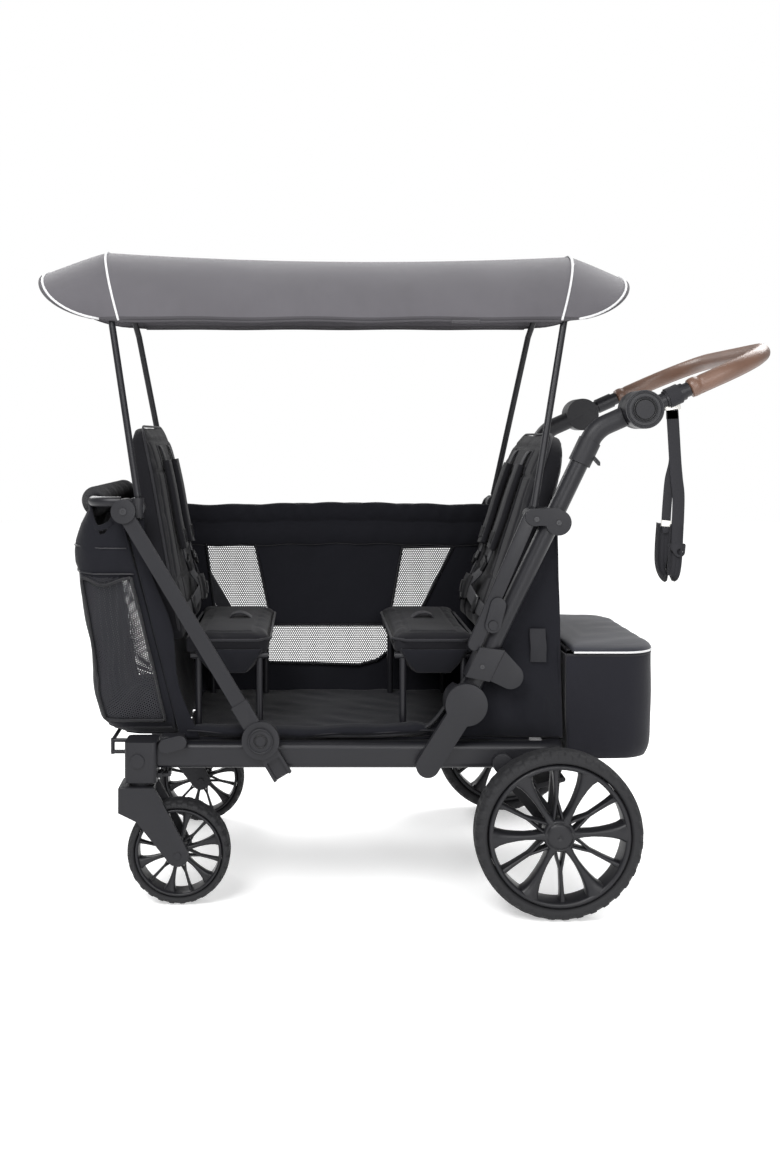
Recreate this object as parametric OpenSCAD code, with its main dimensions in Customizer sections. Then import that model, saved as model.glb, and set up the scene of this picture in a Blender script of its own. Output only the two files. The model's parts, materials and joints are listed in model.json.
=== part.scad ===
// Two-seat folding pull wagon with a canopy.
// +X points to the handle end, +Z is up, and the origin is on the ground in the middle of the wagon.
// "Left" is the -Y side. Each pair is drawn on the left and mirrored to the right.

/* [Wheels] */
// Outside diameter of the rear wheels
rear_wheel_d = 280; // [230:1:340]
// Width of the rear tyres
rear_wheel_w = 50; // [40:1:60]
// Radial thickness of the rear tyres
rear_tyre_t = 22; // [16:1:28]
// Outside diameter of the front wheels
front_wheel_d = 177; // [147:1:213]
// Width of the front tyres
front_wheel_w = 44; // [34:1:54]
// Radial thickness of the front tyres
front_tyre_t = 14; // [10:1:18]
// Number of spokes in each wheel
spokes = 12; // [8:2:16]
// Diameter of all wheel axles
axle_d = 12; // [10:1:15]
// Radial play of the wheels and pivots on their pins
play = 0.05; // [0.02:0.01:0.1]

/* [Chassis] */
// Distance between the front and rear axles
wheelbase = 638; // [530:1:770]
// Distance from the middle plane to the middle of each side rail
frame_y = 225; // [187:1:270]
// Height of the side rails
rail_h = 43; // [35:1:51]
// Width of the side rails
rail_w = 32; // [26:1:38]
// Height of the middle of the rails above the top of the front wheels
rail_rise = 75.5; // [70:0.5:95]
// Distance from the front axle forward to the swivel pin
trail = 64; // [52:1:76]
// Diameter of the swivel pins
swivel_d = 16; // [13:1:19]
// Diameter of the cross tubes and the rear axle tube
cross_d = 22; // [18:1:26]

/* [Frame] */
// Angle of the rear uprights above the ground
upright_angle = 64.3; // [58:0.1:70]
// Length of the rear uprights from the knee to the bend
upright_l = 500; // [430:1:600]
// Diameter of the rear uprights
upright_d = 32; // [27:1:38]
// Distance from the strut pivot to the bolt at its top
strut_l = 455; // [380:1:546]
// Angle of the front struts above the ground, from the back
strut_angle = 121; // [112:1:128]
// Width of the flat front struts
strut_w = 25; // [20:1:30]
// Diameter of the front bag hoop
hoop_d = 18; // [15:1:22]

/* [Handle] */
// Distance from the handle pivot to the end of the grip
handle_reach = 274; // [230:1:328]
// Slope of the handle above the ground
handle_slope = 24; // [15:1:35]
// Diameter of the handle grip
grip_d = 30; // [25:1:36]
// Radius of the handle hubs
hub_r = 33; // [28:1:39]
// Thickness of the wrist strap webbing
webbing_t = 2.4; // [1.5:0.1:3]
// Width of the wrist strap webbing
webbing_w = 22; // [18:1:26]
// Diameter of the hole in the strap plate
plate_hole_d = 11; // [9:1:13]

/* [Canopy] */
// Height of the canopy hem above the rails
canopy_rise = 752; // [700:1:900]
// Height of the canopy ridge above its hem
canopy_arch = 146; // [122:1:176]
// Diameter of the canopy rods
rod_d = 12; // [10:1:14]
// Length of the canopy ahead of the front seam
visor_l = 161; // [135:1:193]
// Thickness of the canopy cloth and its hem
cloth_t = 3; // [2:0.5:5]

/* [Seats and cloth] */
// Height of the seat tops above the rails
seat_rise = 197; // [170:1:230]
// Thickness of the seat cushions
cushion_t = 30; // [24:1:36]
// Length of the backrests
back_l = 395; // [330:1:440]
// Height of the cloth tub above the rails
tub_rise = 412; // [350:1:440]
// Wall thickness of the cloth tub, bag and basket
wall = 4; // [3:0.5:6]
// Height of the rear basket
basket_h = 184; // [155:1:200]
// Length of the rear basket
basket_l = 162; // [135:1:195]

/* [Hidden] */
$fn = 48;

// Colours of the materials
frame_c = "#3f3f43";
plastic_c = "#4a4a4f";
tyre_c = "#3a3a3c";
cloth_c = "#20222a";
pad_c = "#383a3e";
canopy_c = "#5a585d";
leather_c = "#7d5f50";

// Places along the wagon, as [x, z] points of the side view
rear_x = 254;
rear_axle = [rear_x, rear_wheel_d / 2];
nose_x = rear_x - wheelbase;
front_axle = [nose_x, front_wheel_d / 2];
swivel_x = nose_x - trail;
deck_z = front_wheel_d + rail_rise;
deck_top = deck_z + rail_h / 2;
deck_low = deck_z - rail_h / 2;
rail_end_x = rear_x - 17;
rail_bend = 28;
knee = [rear_x - 146, deck_z + 90.5];
strut_foot = [nose_x + 141, deck_z + 30.5];
strut_top = strut_foot + strut_l * [cos(strut_angle), sin(strut_angle)];

// Distances from the middle plane
rear_wheel_y = frame_y + 75;
caster_y = frame_y + 3;
inner_y = frame_y - rail_w / 2;
outer_y = frame_y + rail_w / 2;
tub_y = frame_y - 20;
seat_y = frame_y - 37;
arm_y = frame_y + 23;
hem_y = frame_y - 35;
gap = 0.4;

// Corner casting and fork
block_l = 55;
block_w = 60;
block_low = deck_low - 21;
block_top = deck_top + 5;
crown_top = block_low - 7;
crown_low = front_wheel_d + 4;
arm_t = 8;
arm_gap = 3;
fork_in = front_wheel_w / 2 + arm_gap;

// A place on the rear upright: along it from the knee, and behind its middle line
function along(r, off = 0) =
    knee + r * [cos(upright_angle), sin(upright_angle)]
         + off * [sin(upright_angle), -cos(upright_angle)];

bend_r = 60;
bend_start = along(upright_l);
bend_mid = along(upright_l, bend_r);
bend_end = bend_mid + bend_r * [-sin(handle_slope), cos(handle_slope)];
slope_dir = [cos(handle_slope), sin(handle_slope)];
pivot = bend_end + 60.5 * slope_dir;
bow_r = 120;
bow_end = handle_reach - grip_d / 2;
sleeve_from = 42;
sleeve_to = 76;

// Canopy shape
hem_z = deck_z + canopy_rise;
arch_r = (pow(hem_y, 2) + pow(canopy_arch, 2)) / (2 * canopy_arch);
arch_a = asin(hem_y / arch_r);
seam_front = swivel_x - 47;
seam_rear = rear_x + 30;
seam_rake = 46;
visor_rear_l = visor_l - 20;
visor_drop = 42;
ridge_sag = 13;
arch_steps = 16;
body_steps = 8;
rod_front = [strut_top.x + 22, strut_top.y + 22];
rod_rear = along(352.6, -37.6);
rod_y = frame_y + 7;
spigot_l = 20;
spigot_d = 10;

// Seats: the foot of each backrest's face, and how far each leans
seat_z = deck_z + seat_rise;
pan_low = seat_z - cushion_t;
pan_front_x = nose_x + 6;
pan_rear_x = rear_x - 118;
pan_l = 150;
lean_front = 10;
lean_rear = 17.5;
back_front_x = pan_front_x - 2;
back_rear_x = pan_rear_x + 10;
back_front_t = 38;
back_rear_t = 42;
back_low = 12;

// Basket
basket_x = rear_x + 34;
basket_z = deck_z - 16;
lid_z = basket_z + basket_h;
lid_t = 12;

// Strap
strap_top = pivot + 57 * slope_dir;
strap_l = 298;

// ---------- helpers ----------

module pair() {
    children();
    mirror([0, 1, 0]) children();
}

module on_right() {
    mirror([0, 1, 0]) children();
}

// Extrudes a side-view outline from distance a to distance b left of the middle plane
module slab(a, b) {
    translate([0, -a, 0]) rotate([90, 0, 0]) linear_extrude(b - a) children();
}

module disc(p, r, a, b) {
    translate([p.x, -a, p.y]) rotate([90, 0, 0]) cylinder(r = r, h = b - a);
}

module capsule(p, q, w) {
    d = q - p;
    n = [-d.y, d.x] / norm(d) * w / 2;
    translate(p) circle(d = w);
    translate(q) circle(d = w);
    polygon([p + n, q + n, q - n, p - n]);
}

module bar(p, q, w, a, b) {
    slab(a, b) capsule(p, q, w);
}

// A round bar between two points in space
module rod(p, q, d) {
    v = q - p;
    translate(p) rotate([0, acos(v.z / norm(v)), atan2(v.y, v.x)]) cylinder(d = d, h = norm(v));
}

module rounded(w, h, r) {
    for (x = [-1, 1], y = [-1, 1]) translate([x * (w / 2 - r), y * (h / 2 - r)]) circle(r = r);
    square([w - 2 * r, h], center = true);
    square([w, h - 2 * r], center = true);
}

module block(x0, x1, a, b, z0, z1) {
    translate([x0, -b, z0]) cube([x1 - x0, b - a, z1 - z0]);
}

// ---------- chassis ----------

module rail() {
    color(frame_c) translate([swivel_x + block_l / 2, -frame_y, deck_z]) rotate([90, 0, 90])
        linear_extrude(rail_end_x - swivel_x - block_l / 2) rounded(rail_w, rail_h, 10);
}

module rear_crossbar() {
    y = frame_y - rail_bend;
    translate([rail_end_x, 0, deck_z]) {
        pair() translate([0, -y, 0]) rotate([0, 0, -90]) rotate_extrude(angle = 90)
            translate([rail_bend, 0]) rounded(rail_w, rail_h, 10);
        translate([rail_bend, y, 0]) rotate([90, 0, 0]) linear_extrude(2 * y) rounded(rail_w, rail_h, 10);
    }
}

cross_xs = [nose_x + 30, nose_x + 250, nose_x + 470];

module crossbars() {
    color(frame_c) {
        rear_crossbar();
        for (x = cross_xs) rod([x, -inner_y, deck_z], [x, inner_y, deck_z], cross_d);
    }
}

board_low = deck_z + cross_d / 2;
board_t = 8;

module floor_board() {
    y = inner_y - 2;
    color("#2b2b2f") block(nose_x + 6, rear_x - 30, -y, y, board_low, board_low + board_t);
}

module corner_block() {
    color(plastic_c) difference() {
        union() {
            translate([swivel_x, -frame_y, block_low]) linear_extrude(block_top - block_low)
                rounded(block_l, block_w, 9);
            disc([swivel_x - 5, deck_z - 5], 12, frame_y, frame_y + block_w / 2 + 3);
            translate([swivel_x, -caster_y, crown_top + gap])
                cylinder(r = 22, h = block_low - crown_top - gap);
        }
        translate([swivel_x, -caster_y, crown_top - 1]) cylinder(d = swivel_d + 2 * play, h = 52);
    }
}

loop_d = 7;
loop_x = swivel_x - 55;

module tow_loop() {
    z = deck_z + 18;
    x0 = swivel_x - block_l / 2;
    y = frame_y - 24;
    color(frame_c) {
        pair() {
            rod([x0, -y, z], [loop_x, -y, z], loop_d);
            rod([x0, -y, z - 20], [loop_x, -y, z - 20], loop_d);
            rod([loop_x, -y, z + loop_d / 2], [loop_x, -y, z - 20 - loop_d / 2], loop_d);
        }
        rod([loop_x, -y, z], [loop_x, y, z], loop_d);
    }
}

module rail_bumpers() {
    x0 = swivel_x + block_l / 2 + 1;
    color(plastic_c) pair() {
        difference() {
            slab(outer_y, outer_y + 11) capsule([x0 + 14, deck_top - 2], [x0 + 38, deck_top + 4], 24);
            block(x0 - 20, x0 + 60, outer_y - 1, outer_y + 12, deck_low - 9, deck_low + 20);
        }
        block(x0 + 6, x0 + 44, inner_y + 3, outer_y, deck_top, deck_top + 12);
    }
}

leg_w = 34;
leg_head = [rear_x - 84, deck_z - 10];

module axle_legs() {
    color(plastic_c) pair() difference() {
        union() {
            bar(leg_head, rear_axle, leg_w, outer_y, outer_y + 12);
            bar([rear_x + 8, deck_z], rear_axle, 16, outer_y, outer_y + 12);
            disc(rear_axle, 24, inner_y, outer_y + 14);
        }
        disc(rear_axle, cross_d / 2 + play, inner_y - 1, outer_y + 2);
        disc(rear_axle, axle_d / 2 + play, inner_y - 1, outer_y + 20);
    }
}

module rear_axle() {
    tip = rear_wheel_y + rear_wheel_w / 2 - 8;
    color("#8a8c90") {
        disc(rear_axle, cross_d / 2, -outer_y - 2, outer_y + 2);
        pair() disc(rear_axle, axle_d / 2, outer_y + 2, tip);
    }
}

// ---------- wheels ----------

module tyre(r, t, w) {
    s = w * 0.16;
    rotate([90, 0, 0]) rotate_extrude($fn = 96) polygon([
        [r - t, -w * 0.36], [r - t * 0.55, -w / 2], [r - s, -w / 2], [r, -w / 2 + s],
        [r, w / 2 - s], [r - s, w / 2], [r - t * 0.55, w / 2], [r - t, w * 0.36]]);
}

module rim(r, t, w, hub, hub_w, bore) {
    ring = r - t;
    in = ring - t * 0.55;
    spoke_w = w * 0.5;
    rotate([90, 0, 0]) difference() {
        union() {
            difference() {
                cylinder(r = ring, h = w * 0.72, center = true, $fn = 96);
                cylinder(r = in, h = w, center = true, $fn = 96);
            }
            cylinder(r = hub, h = hub_w, center = true);
            for (i = [0 : spokes - 1]) rotate(360 / spokes * i) {
                wide = i % 2 == 0 ? 0.12 : 0.05;
                translate([0, 0, -spoke_w / 2]) linear_extrude(spoke_w)
                    polygon([[hub * 0.8, -r * 0.035], [in + 1, -r * wide],
                             [in + 1, r * wide], [hub * 0.8, r * 0.035]]);
            }
        }
        cylinder(r = bore, h = 2 * w, center = true);
    }
}

module rear_at() {
    translate([rear_axle.x, -rear_wheel_y, rear_axle.y]) children();
}

module front_at() {
    translate([front_axle.x, -caster_y, front_axle.y]) children();
}

module rear_tyre() {
    color(tyre_c) rear_at() tyre(rear_wheel_d / 2, rear_tyre_t, rear_wheel_w);
}

module rear_rim() {
    color(plastic_c) rear_at() difference() {
        union() {
            rim(rear_wheel_d / 2, rear_tyre_t, rear_wheel_w, 30, rear_wheel_w * 0.8, axle_d / 2 + play);
            rotate([90, 0, 0]) cylinder(r = 24, h = rear_wheel_w / 2 - 1);
        }
        rotate([90, 0, 0]) translate([0, 0, -rear_wheel_w])
            cylinder(r = axle_d / 2 + play, h = 1.5 * rear_wheel_w - 7.6);
    }
}

module front_tyre() {
    color(tyre_c) front_at() tyre(front_wheel_d / 2, front_tyre_t, front_wheel_w);
}

module front_rim() {
    color(plastic_c) front_at()
        rim(front_wheel_d / 2, front_tyre_t, front_wheel_w, 17, front_wheel_w + 2, axle_d / 2 + play);
}

// ---------- casters ----------

crown_back = swivel_x + 34;
crown_front = swivel_x - 37;

module fork_arm() {
    arm_low = front_axle + [0, -19];
    polygon([[crown_front, crown_top], [crown_back - 10, crown_top], [crown_back + 2, crown_top - 20],
             front_axle + 19 * [cos(32), sin(32)], front_axle, front_axle + 19 * [cos(212), sin(212)],
             [swivel_x - 6, front_axle.y + 57], [crown_front, front_axle.y + 72]]);
    translate(front_axle) circle(r = 19);
}

module fork() {
    color(plastic_c) {
        for (y = [caster_y - fork_in - arm_t, caster_y + fork_in]) slab(y, y + arm_t) fork_arm();
        block(crown_front, crown_back - 12, caster_y - fork_in - 1, caster_y + fork_in + 1,
              crown_low, crown_top);
        translate([swivel_x, -caster_y, crown_top - 5]) cylinder(d = swivel_d, h = 53);
        disc(front_axle, axle_d / 2, caster_y - fork_in - arm_t - 2, caster_y + fork_in + arm_t + 2);
    }
}

lock_pin = [swivel_x + block_l / 2 + 5, block_low + 9];

module swivel_lock() {
    color(plastic_c) difference() {
        union() {
            disc(lock_pin, 4, frame_y - 9, frame_y + 9);
            block(lock_pin.x - 1, lock_pin.x + 17, frame_y - 9, frame_y + 9, lock_pin.y - 3, lock_pin.y + 2);
            block(lock_pin.x + 13, lock_pin.x + 17, frame_y - 9, frame_y + 9, lock_pin.y - 3, lock_pin.y + 6);
        }
        disc(lock_pin, 2 + play, frame_y - 12, frame_y + 12);
    }
}

// Ears on each corner block that hold the swivel lock's pin
module lock_ears() {
    color(plastic_c) {
        for (y = [frame_y - 14, frame_y + 9.6]) slab(y, y + 4.4) {
            translate(lock_pin) circle(r = 4);
            polygon([[swivel_x + block_l / 2 - 1, lock_pin.y - 4], lock_pin + [0, -4], lock_pin + [0, 4],
                     [swivel_x + block_l / 2 - 1, lock_pin.y + 4]]);
        }
        disc(lock_pin, 2, frame_y - 12, frame_y + 12);
    }
}

module corner_blocks() {
    pair() {
        corner_block();
        lock_ears();
    }
}

// ---------- rear frame ----------

knee_r = 36;
knee_out = outer_y + 15;
plate_foot = [knee.x - 66, deck_low + 8];

module knee_castings() {
    color(plastic_c) pair() difference() {
        union() {
            bar(plate_foot, knee, 40, outer_y + gap, knee_out);
            disc(knee, knee_r, inner_y, knee_out);
        }
        slab(inner_y - 1, outer_y) polygon([along(20, -60), along(20, 60), along(90, 60), along(90, -60)]);
    }
}

module upright_tube() {
    p = along(20);
    q = along(upright_l);
    color(frame_c) rod([p.x, -frame_y, p.y], [q.x, -frame_y, q.y], upright_d);
}

// The space that the upright takes up in the castings around it
module upright_hole() {
    rod([knee.x, -frame_y, knee.y], [bend_start.x, -frame_y, bend_start.y], upright_d + 0.2);
}

house_t = 7;

module lower_housings() {
    y0 = frame_y + upright_d / 2;
    color(plastic_c) pair() {
        difference() {
            slab(inner_y - 4, y0 + house_t) {
                polygon([along(42, -21), along(98, -21), along(112, 20), along(52, 20)]);
            }
            upright_hole();
            link_slot();
        }
        slab(y0 - 14, y0 + house_t - 1) {
            hull() {
                translate(along(76, 48)) circle(r = 22);
                polygon([along(54, 20.4), along(111, 20.4), along(100, 30), along(64, 30)]);
            }
        }
    }
}

link_in = frame_y + 12.5;
link_out = frame_y + 19;
link_high = along(352.6, -37.6) + [-9, -15];
link_mid = link_high + [-55, -150];
link_low = along(99, -30);

module link_slot() {
    bar(link_high, link_low, 24.2, link_in - 0.1, link_out + 0.1);
}

module link_bars() {
    color(frame_c) pair() bar(link_high, link_low, 24, link_in, link_out);
}

module latch_plates() {
    color(plastic_c) pair() difference() {
        slab(link_out, link_out + 5) {
            capsule(link_mid, link_mid + [-9, -34], 27);
        }
        disc(link_mid + [-9, -34], 8 + play + 0.1, link_out - 1, link_out + 6);
    }
}

module latch_button() {
    color(frame_c) disc(link_mid + [-9, -34], 8, link_out + 2.5, link_out + 7);
}

bracket_hub = along(353, 4);

// The blind hole that a canopy rod's spigot stands in
module rod_socket(top) {
    translate([top.x, -rod_y, top.y - spigot_l - 2]) cylinder(d = spigot_d + 2 * play, h = spigot_l + 9);
}

module rod_brackets() {
    y0 = frame_y - upright_d / 2 - 4;
    color(plastic_c) pair() {
        difference() {
            union() {
                slab(y0, outer_y + 6) {
                    capsule(bracket_hub + [-2, 4], rod_rear + [-2, -14], 30);
                    translate(bracket_hub + [2, -6]) circle(r = 22);
                }
                translate([rod_rear.x, -rod_y, rod_rear.y - 30]) cylinder(r = 11, h = 30);
            }
            upright_hole();
            rod_socket(rod_rear);
            link_slot();
            translate([rod_rear.x, -rod_y, rod_rear.y]) cylinder(r = 22, h = 20);
        }
    }
}

collar_d = upright_d + 7;

module elbows() {
    color(plastic_c) pair() {
        difference() {
            p = along(upright_l - 43);
            q = bend_start;
            union() {
                rod([p.x, -frame_y, p.y], [q.x, -frame_y, q.y], collar_d);
                slab(frame_y - 9, frame_y + 9) polygon([along(upright_l - 14, 0), along(upright_l - 26, 30),
                    along(upright_l - 32, 33), along(upright_l - 26, 18)]);
            }
            upright_hole();
        }
        translate([bend_mid.x, -frame_y, bend_mid.y]) rotate([90, 0, 0]) rotate([0, 0, 90 + handle_slope])
            rotate_extrude(angle = upright_angle - handle_slope)
                translate([bend_r, 0]) circle(d = upright_d + 3);
        difference() {
            rod([bend_end.x, -frame_y, bend_end.y], [pivot.x, -frame_y, pivot.y], upright_d + 3);
            disc(pivot, hub_r + 1, arm_y - 15 - gap, arm_y + 20);
        }
        disc(pivot, hub_r, frame_y - 17, arm_y - 15 - gap);
        disc(pivot, 8, arm_y - 16, arm_y + 6);
    }
}

// A cross tube behind the rear backrest carries it between the uprights
hanger = along(384, 5);
hanger_d = 16;

module seat_hangers() {
    color(frame_c) difference() {
        rod([hanger.x, -frame_y, hanger.y], [hanger.x, frame_y, hanger.y], hanger_d);
        pair() upright_hole();
    }
}

// ---------- front frame ----------

strut_in = outer_y + 3;
strut_out = strut_in + 9;
strut_dir = [cos(strut_angle), sin(strut_angle)];
strut_side = [sin(strut_angle), -cos(strut_angle)];

module strut() {
    catch = strut_foot - 66 * strut_dir;
    color(frame_c) {
        disc(strut_foot, 32, outer_y, strut_out + 5);
        disc(strut_foot, 20, strut_out + 5, strut_out + 9);
        difference() {
            bar(strut_foot, strut_top, strut_w, strut_in, strut_out);
            disc(strut_foot, 32, outer_y, strut_out + 5);
            disc(strut_top, 21, strut_in - 1, strut_out + 1);
        }
        difference() {
            slab(strut_in - 1, strut_out + 2) polygon([for (c = [[30, -15], [72, -15], [72, 15], [30, 15]])
                strut_foot + c[0] * strut_dir + c[1] * strut_side]);
            bar(strut_foot, strut_top, strut_w, strut_in, strut_out);
            disc(strut_foot, 32, outer_y - 1, strut_out + 5);
        }
        difference() {
            slab(outer_y + 1, strut_out) polygon([for (c = [[-26, -17], [-74, -17], [-74, 17], [-26, 17]])
                strut_foot + c[0] * strut_dir + c[1] * strut_side]);
            disc(strut_foot, 32, outer_y, strut_out + 5);
            slab(outer_y + 5, strut_out + 1)
                polygon([for (c = [[-40, -12], [-80, -12], [-80, 12], [-40, 12]])
                    strut_foot + c[0] * strut_dir + c[1] * strut_side]);
        }
    }
}

hoop_x = strut_top.x - 62;
hoop_z = strut_top.y + 15;
hoop_bend = 40;

module bag_hoop() {
    y = frame_y - hoop_bend;
    color(frame_c) {
        pair() {
            rod([strut_top.x - 8, -frame_y, hoop_z], [hoop_x + hoop_bend, -frame_y, hoop_z], hoop_d);
            translate([hoop_x + hoop_bend, -y, hoop_z]) rotate([0, 0, 180]) rotate_extrude(angle = 90)
                translate([hoop_bend, 0]) circle(d = hoop_d);
        }
        rod([hoop_x, -y, hoop_z], [hoop_x, y, hoop_z], hoop_d);
    }
}

module top_castings() {
    color(plastic_c) pair() difference() {
        union() {
            disc(strut_top, 21, frame_y - 14, strut_out + 3);
            slab(frame_y - 12, frame_y + 12) capsule(strut_top + [-3, 6], strut_top + [20, 4], 29);
            translate([rod_front.x, -rod_y, rod_front.y - 34]) cylinder(r = 11, h = 34);
        }
        rod([strut_top.x - 8, -frame_y, hoop_z], [hoop_x, -frame_y, hoop_z], hoop_d);
        rod_socket(rod_front);
    }
}

// ---------- handle ----------

module bow_frame() {
    translate([pivot.x, 0, pivot.y]) rotate([0, -handle_slope, 0]) children();
}

module handle_bow() {
    color(frame_c) pair() bow_frame() {
        difference() {
            union() {
                translate([0, -arm_y + 15, 0]) rotate([90, 0, 0]) cylinder(r = hub_r, h = 30);
                rod([20, -arm_y, 0], [sleeve_to + 10, -arm_y, 0], grip_d - 5);
                rod([sleeve_from, -arm_y, 0], [sleeve_to, -arm_y, 0], grip_d);
            }
            translate([0, -arm_y + 20, 0]) rotate([90, 0, 0]) cylinder(r = 8 + play, h = 50);
            translate([0, -arm_y - 6, 0]) rotate([90, 0, 0]) cylinder(r = 16 + play, h = 20);
        }
    }
}

module handle_grip() {
    y = arm_y - bow_r;
    color(leather_c) bow_frame() {
        pair() {
            rod([sleeve_to + 10, -arm_y, 0], [bow_end - bow_r, -arm_y, 0], grip_d);
            translate([bow_end - bow_r, -y, 0]) rotate([0, 0, -90]) rotate_extrude(angle = 90)
                translate([bow_r, 0]) circle(d = grip_d);
        }
        rod([bow_end, -y, 0], [bow_end, y, 0], grip_d);
    }
}

module handle_button() {
    color(plastic_c) disc(pivot, 16, arm_y + 10.5, arm_y + 17);
}

// ---------- wrist strap ----------

loop_in = grip_d / 2;
strap_at = strap_top + [0, -loop_in - 3 * webbing_t - 2];
split_z = strap_at.y - 85;
strap_low = strap_at.y + 20 - strap_l;
plate_t = 3;
plate_top = [strap_at.x + 5, strap_low + 50];

// The webbing wraps round the handle, and ends in a flat eye below it
module strap_loop() {
    color("#3a3a3e") bow_frame()
        translate([57 - webbing_w / 2, -arm_y, 0]) rotate([0, 90, 0]) difference() {
        cylinder(r = loop_in + webbing_t, h = webbing_w);
        translate([0, 0, -1]) cylinder(r = loop_in + 0.2, h = webbing_w + 2);
    }
}

// Two layers hang together to the stitched fold, and then part
module wrist_strap() {
    x = strap_at.x;
    y = arm_y + webbing_t / 2;
    half = webbing_w / 2;
    color("#3a3a3e") {
        block(x - half, x + half, y - 2 * webbing_t - 0.6, y, split_z, strap_at.y - 6);
        block(x - half - 6, x + half - 8, y - 2 * webbing_t - 0.6, y - webbing_t - 0.6, strap_low, split_z);
        block(x - half + 4, x + half + 6, y - webbing_t, y, plate_top.y, split_z);
    }
}

module strap_plate() {
    top = plate_top;
    color("#2a2a2d") difference() {
        slab(arm_y - plate_t / 2, arm_y + plate_t / 2) hull() {
            translate(top + [-11, -3]) circle(r = 3);
            translate(top + [13, -3]) circle(r = 3);
            translate(top + [6, -14]) circle(r = 9);
        }
        disc(top + [6, -14], plate_hole_d / 2, arm_y - 3, arm_y + 3);
    }
}

// ---------- tub, bag and basket ----------

tub_low = board_low + board_t;
tub_floor_t = 6;
tub_top = deck_z + tub_rise;
tub_front_low = [nose_x + 1, tub_low];
tub_front_high = [nose_x + 1 - tub_rise * tan(13.5), tub_top];
tub_back_x = rear_x + 28;
tub_heel = [[rail_end_x - 2, tub_low], [rail_end_x - 2, deck_top + gap], [tub_back_x, deck_top + gap]];

module tub_floor() {
    y = tub_y - wall;
    color(cloth_c) block(tub_front_low.x + wall + 1, rear_x - 30, -y, y, tub_low, tub_low + tub_floor_t);
}

module tub_side_right() {
    color(cloth_c) on_right() slab(tub_y - wall, tub_y)
        polygon([tub_front_low, each tub_heel, [tub_back_x - 10, tub_top], tub_front_high]);
}

// The left side is zipped open, so only a sill and the rear corner are up
module tub_side_left() {
    sill = tub_low + 18;
    color(cloth_c) slab(tub_y - wall, tub_y)
        polygon([tub_front_low, each tub_heel,
                 [tub_back_x - 8, tub_top - 30], [tub_back_x - 34, tub_top - 40],
                 [rear_x - 105, seat_z - 10], [rear_x - 165, seat_z - 80], [rear_x - 205, sill + 12],
                 [rear_x - 250, sill], [tub_front_low.x - 4, sill]]);
}

module tub_ends() {
    w = 2 * (tub_y - wall);
    color(cloth_c) {
        slab(-w / 2, w / 2)
            polygon([tub_front_low, tub_front_low + [wall, 0], tub_front_high + [wall, 0], tub_front_high]);
        slab(-w / 2, w / 2)
            polygon([[tub_back_x - wall, tub_low], [tub_back_x, tub_low], [tub_back_x - 8, tub_top - 30],
                     [tub_back_x - 8 - wall, tub_top - 30]]);
    }
}

bag_y = inner_y - 1;

function wall_x(z) =
    tub_front_low.x + (z - tub_low) / (tub_top - tub_low) * (tub_front_high.x - tub_front_low.x) - gap;

module bag_outline(t) {
    z0 = block_top + 3 + t;
    z1 = hoop_z - hoop_d / 2 - 4;
    polygon([[wall_x(z0) - t, z0], [wall_x(z1) - t, z1 + t], [hoop_x - 20 + t, z1 + t],
             [hoop_x - 34 + t, z1 - 45],
             [hoop_x - 39 + t, z1 - 100], [hoop_x - 22 + t, z1 - 190], [hoop_x - 6 + t, z1 - 268],
             [hoop_x + 6 + t, z1 - 350], [hoop_x + 29 + t, z0 + 14], [hoop_x + 54 + t, z0]]);
}

module front_bag() {
    color(cloth_c) difference() {
        slab(-bag_y, bag_y) bag_outline(0);
        slab(-bag_y + wall, bag_y - wall) bag_outline(wall);
    }
}

module basket_plan(t) {
    l = basket_l - t;
    w = 2 * (seat_y + 12) - 2 * t;
    r = 60 - t;
    for (y = [-1, 1]) translate([l - r, y * (w / 2 - r)]) circle(r = r);
    translate([t, -w / 2]) square([l - r - t, w]);
    translate([t, -w / 2 + r]) square([l - t, w - 2 * r]);
}

module rear_basket() {
    color(cloth_c) translate([basket_x, 0, basket_z]) difference() {
        linear_extrude(basket_h - gap) basket_plan(0);
        translate([0, 0, wall]) linear_extrude(basket_h) basket_plan(wall);
    }
}

module basket_lid() {
    color(pad_c) translate([basket_x, 0, lid_z]) difference() {
        linear_extrude(lid_t) basket_plan(0);
        translate([-1, -400, -1]) cube([15, 800, lid_t + 2]);
    }
}

// ---------- seats ----------

frame_rod = 12;

module seat_frame(x0, x1) {
    y = seat_y - 20;
    z = pan_low - gap - frame_rod / 2;
    foot = tub_low + tub_floor_t;
    pair() {
        rod([x0, -y, z], [x1, -y, z], frame_rod);
        for (x = [x0 + 14, x1 - 14]) rod([x, -y, foot], [x, -y, z - frame_rod / 2 + 2], frame_rod);
    }
    for (x = [x0 + 36, x1 - 36]) rod([x, -y, z], [x, y, z], frame_rod);
}

module seat_frames() {
    color(frame_c) {
        seat_frame(pan_front_x + 8, pan_front_x + pan_l - 6);
        seat_frame(pan_rear_x - pan_l + 6, pan_rear_x - 8);
    }
}

module back_outline() {
    translate([0, back_l / 2]) square([2 * seat_y, back_l - 140], center = true);
    for (x = [-1, 1]) {
        translate([x * (seat_y - 70), back_l - 70]) circle(r = 70);
        translate([x * (seat_y - 20), 20]) circle(r = 20);
    }
    translate([0, back_l / 2]) square([2 * seat_y - 140, back_l], center = true);
    translate([0, 45]) square([2 * seat_y, 50], center = true);
    translate([0, 20]) square([2 * seat_y - 40, 40], center = true);
}

// A backrest whose face starts at x and leans towards +X
module seat_back(lean, t) {
    rotate([0, lean, 0]) rotate([90, 0, 90]) linear_extrude(t) back_outline();
}

module seat_back_front() {
    color(pad_c) translate([back_front_x, 0, seat_z - back_low])
        mirror([1, 0, 0]) seat_back(lean_front, back_front_t);
}

module seat_back_rear() {
    color(pad_c) translate([back_rear_x, 0, seat_z - back_low]) seat_back(lean_rear, back_rear_t);
}

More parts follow.
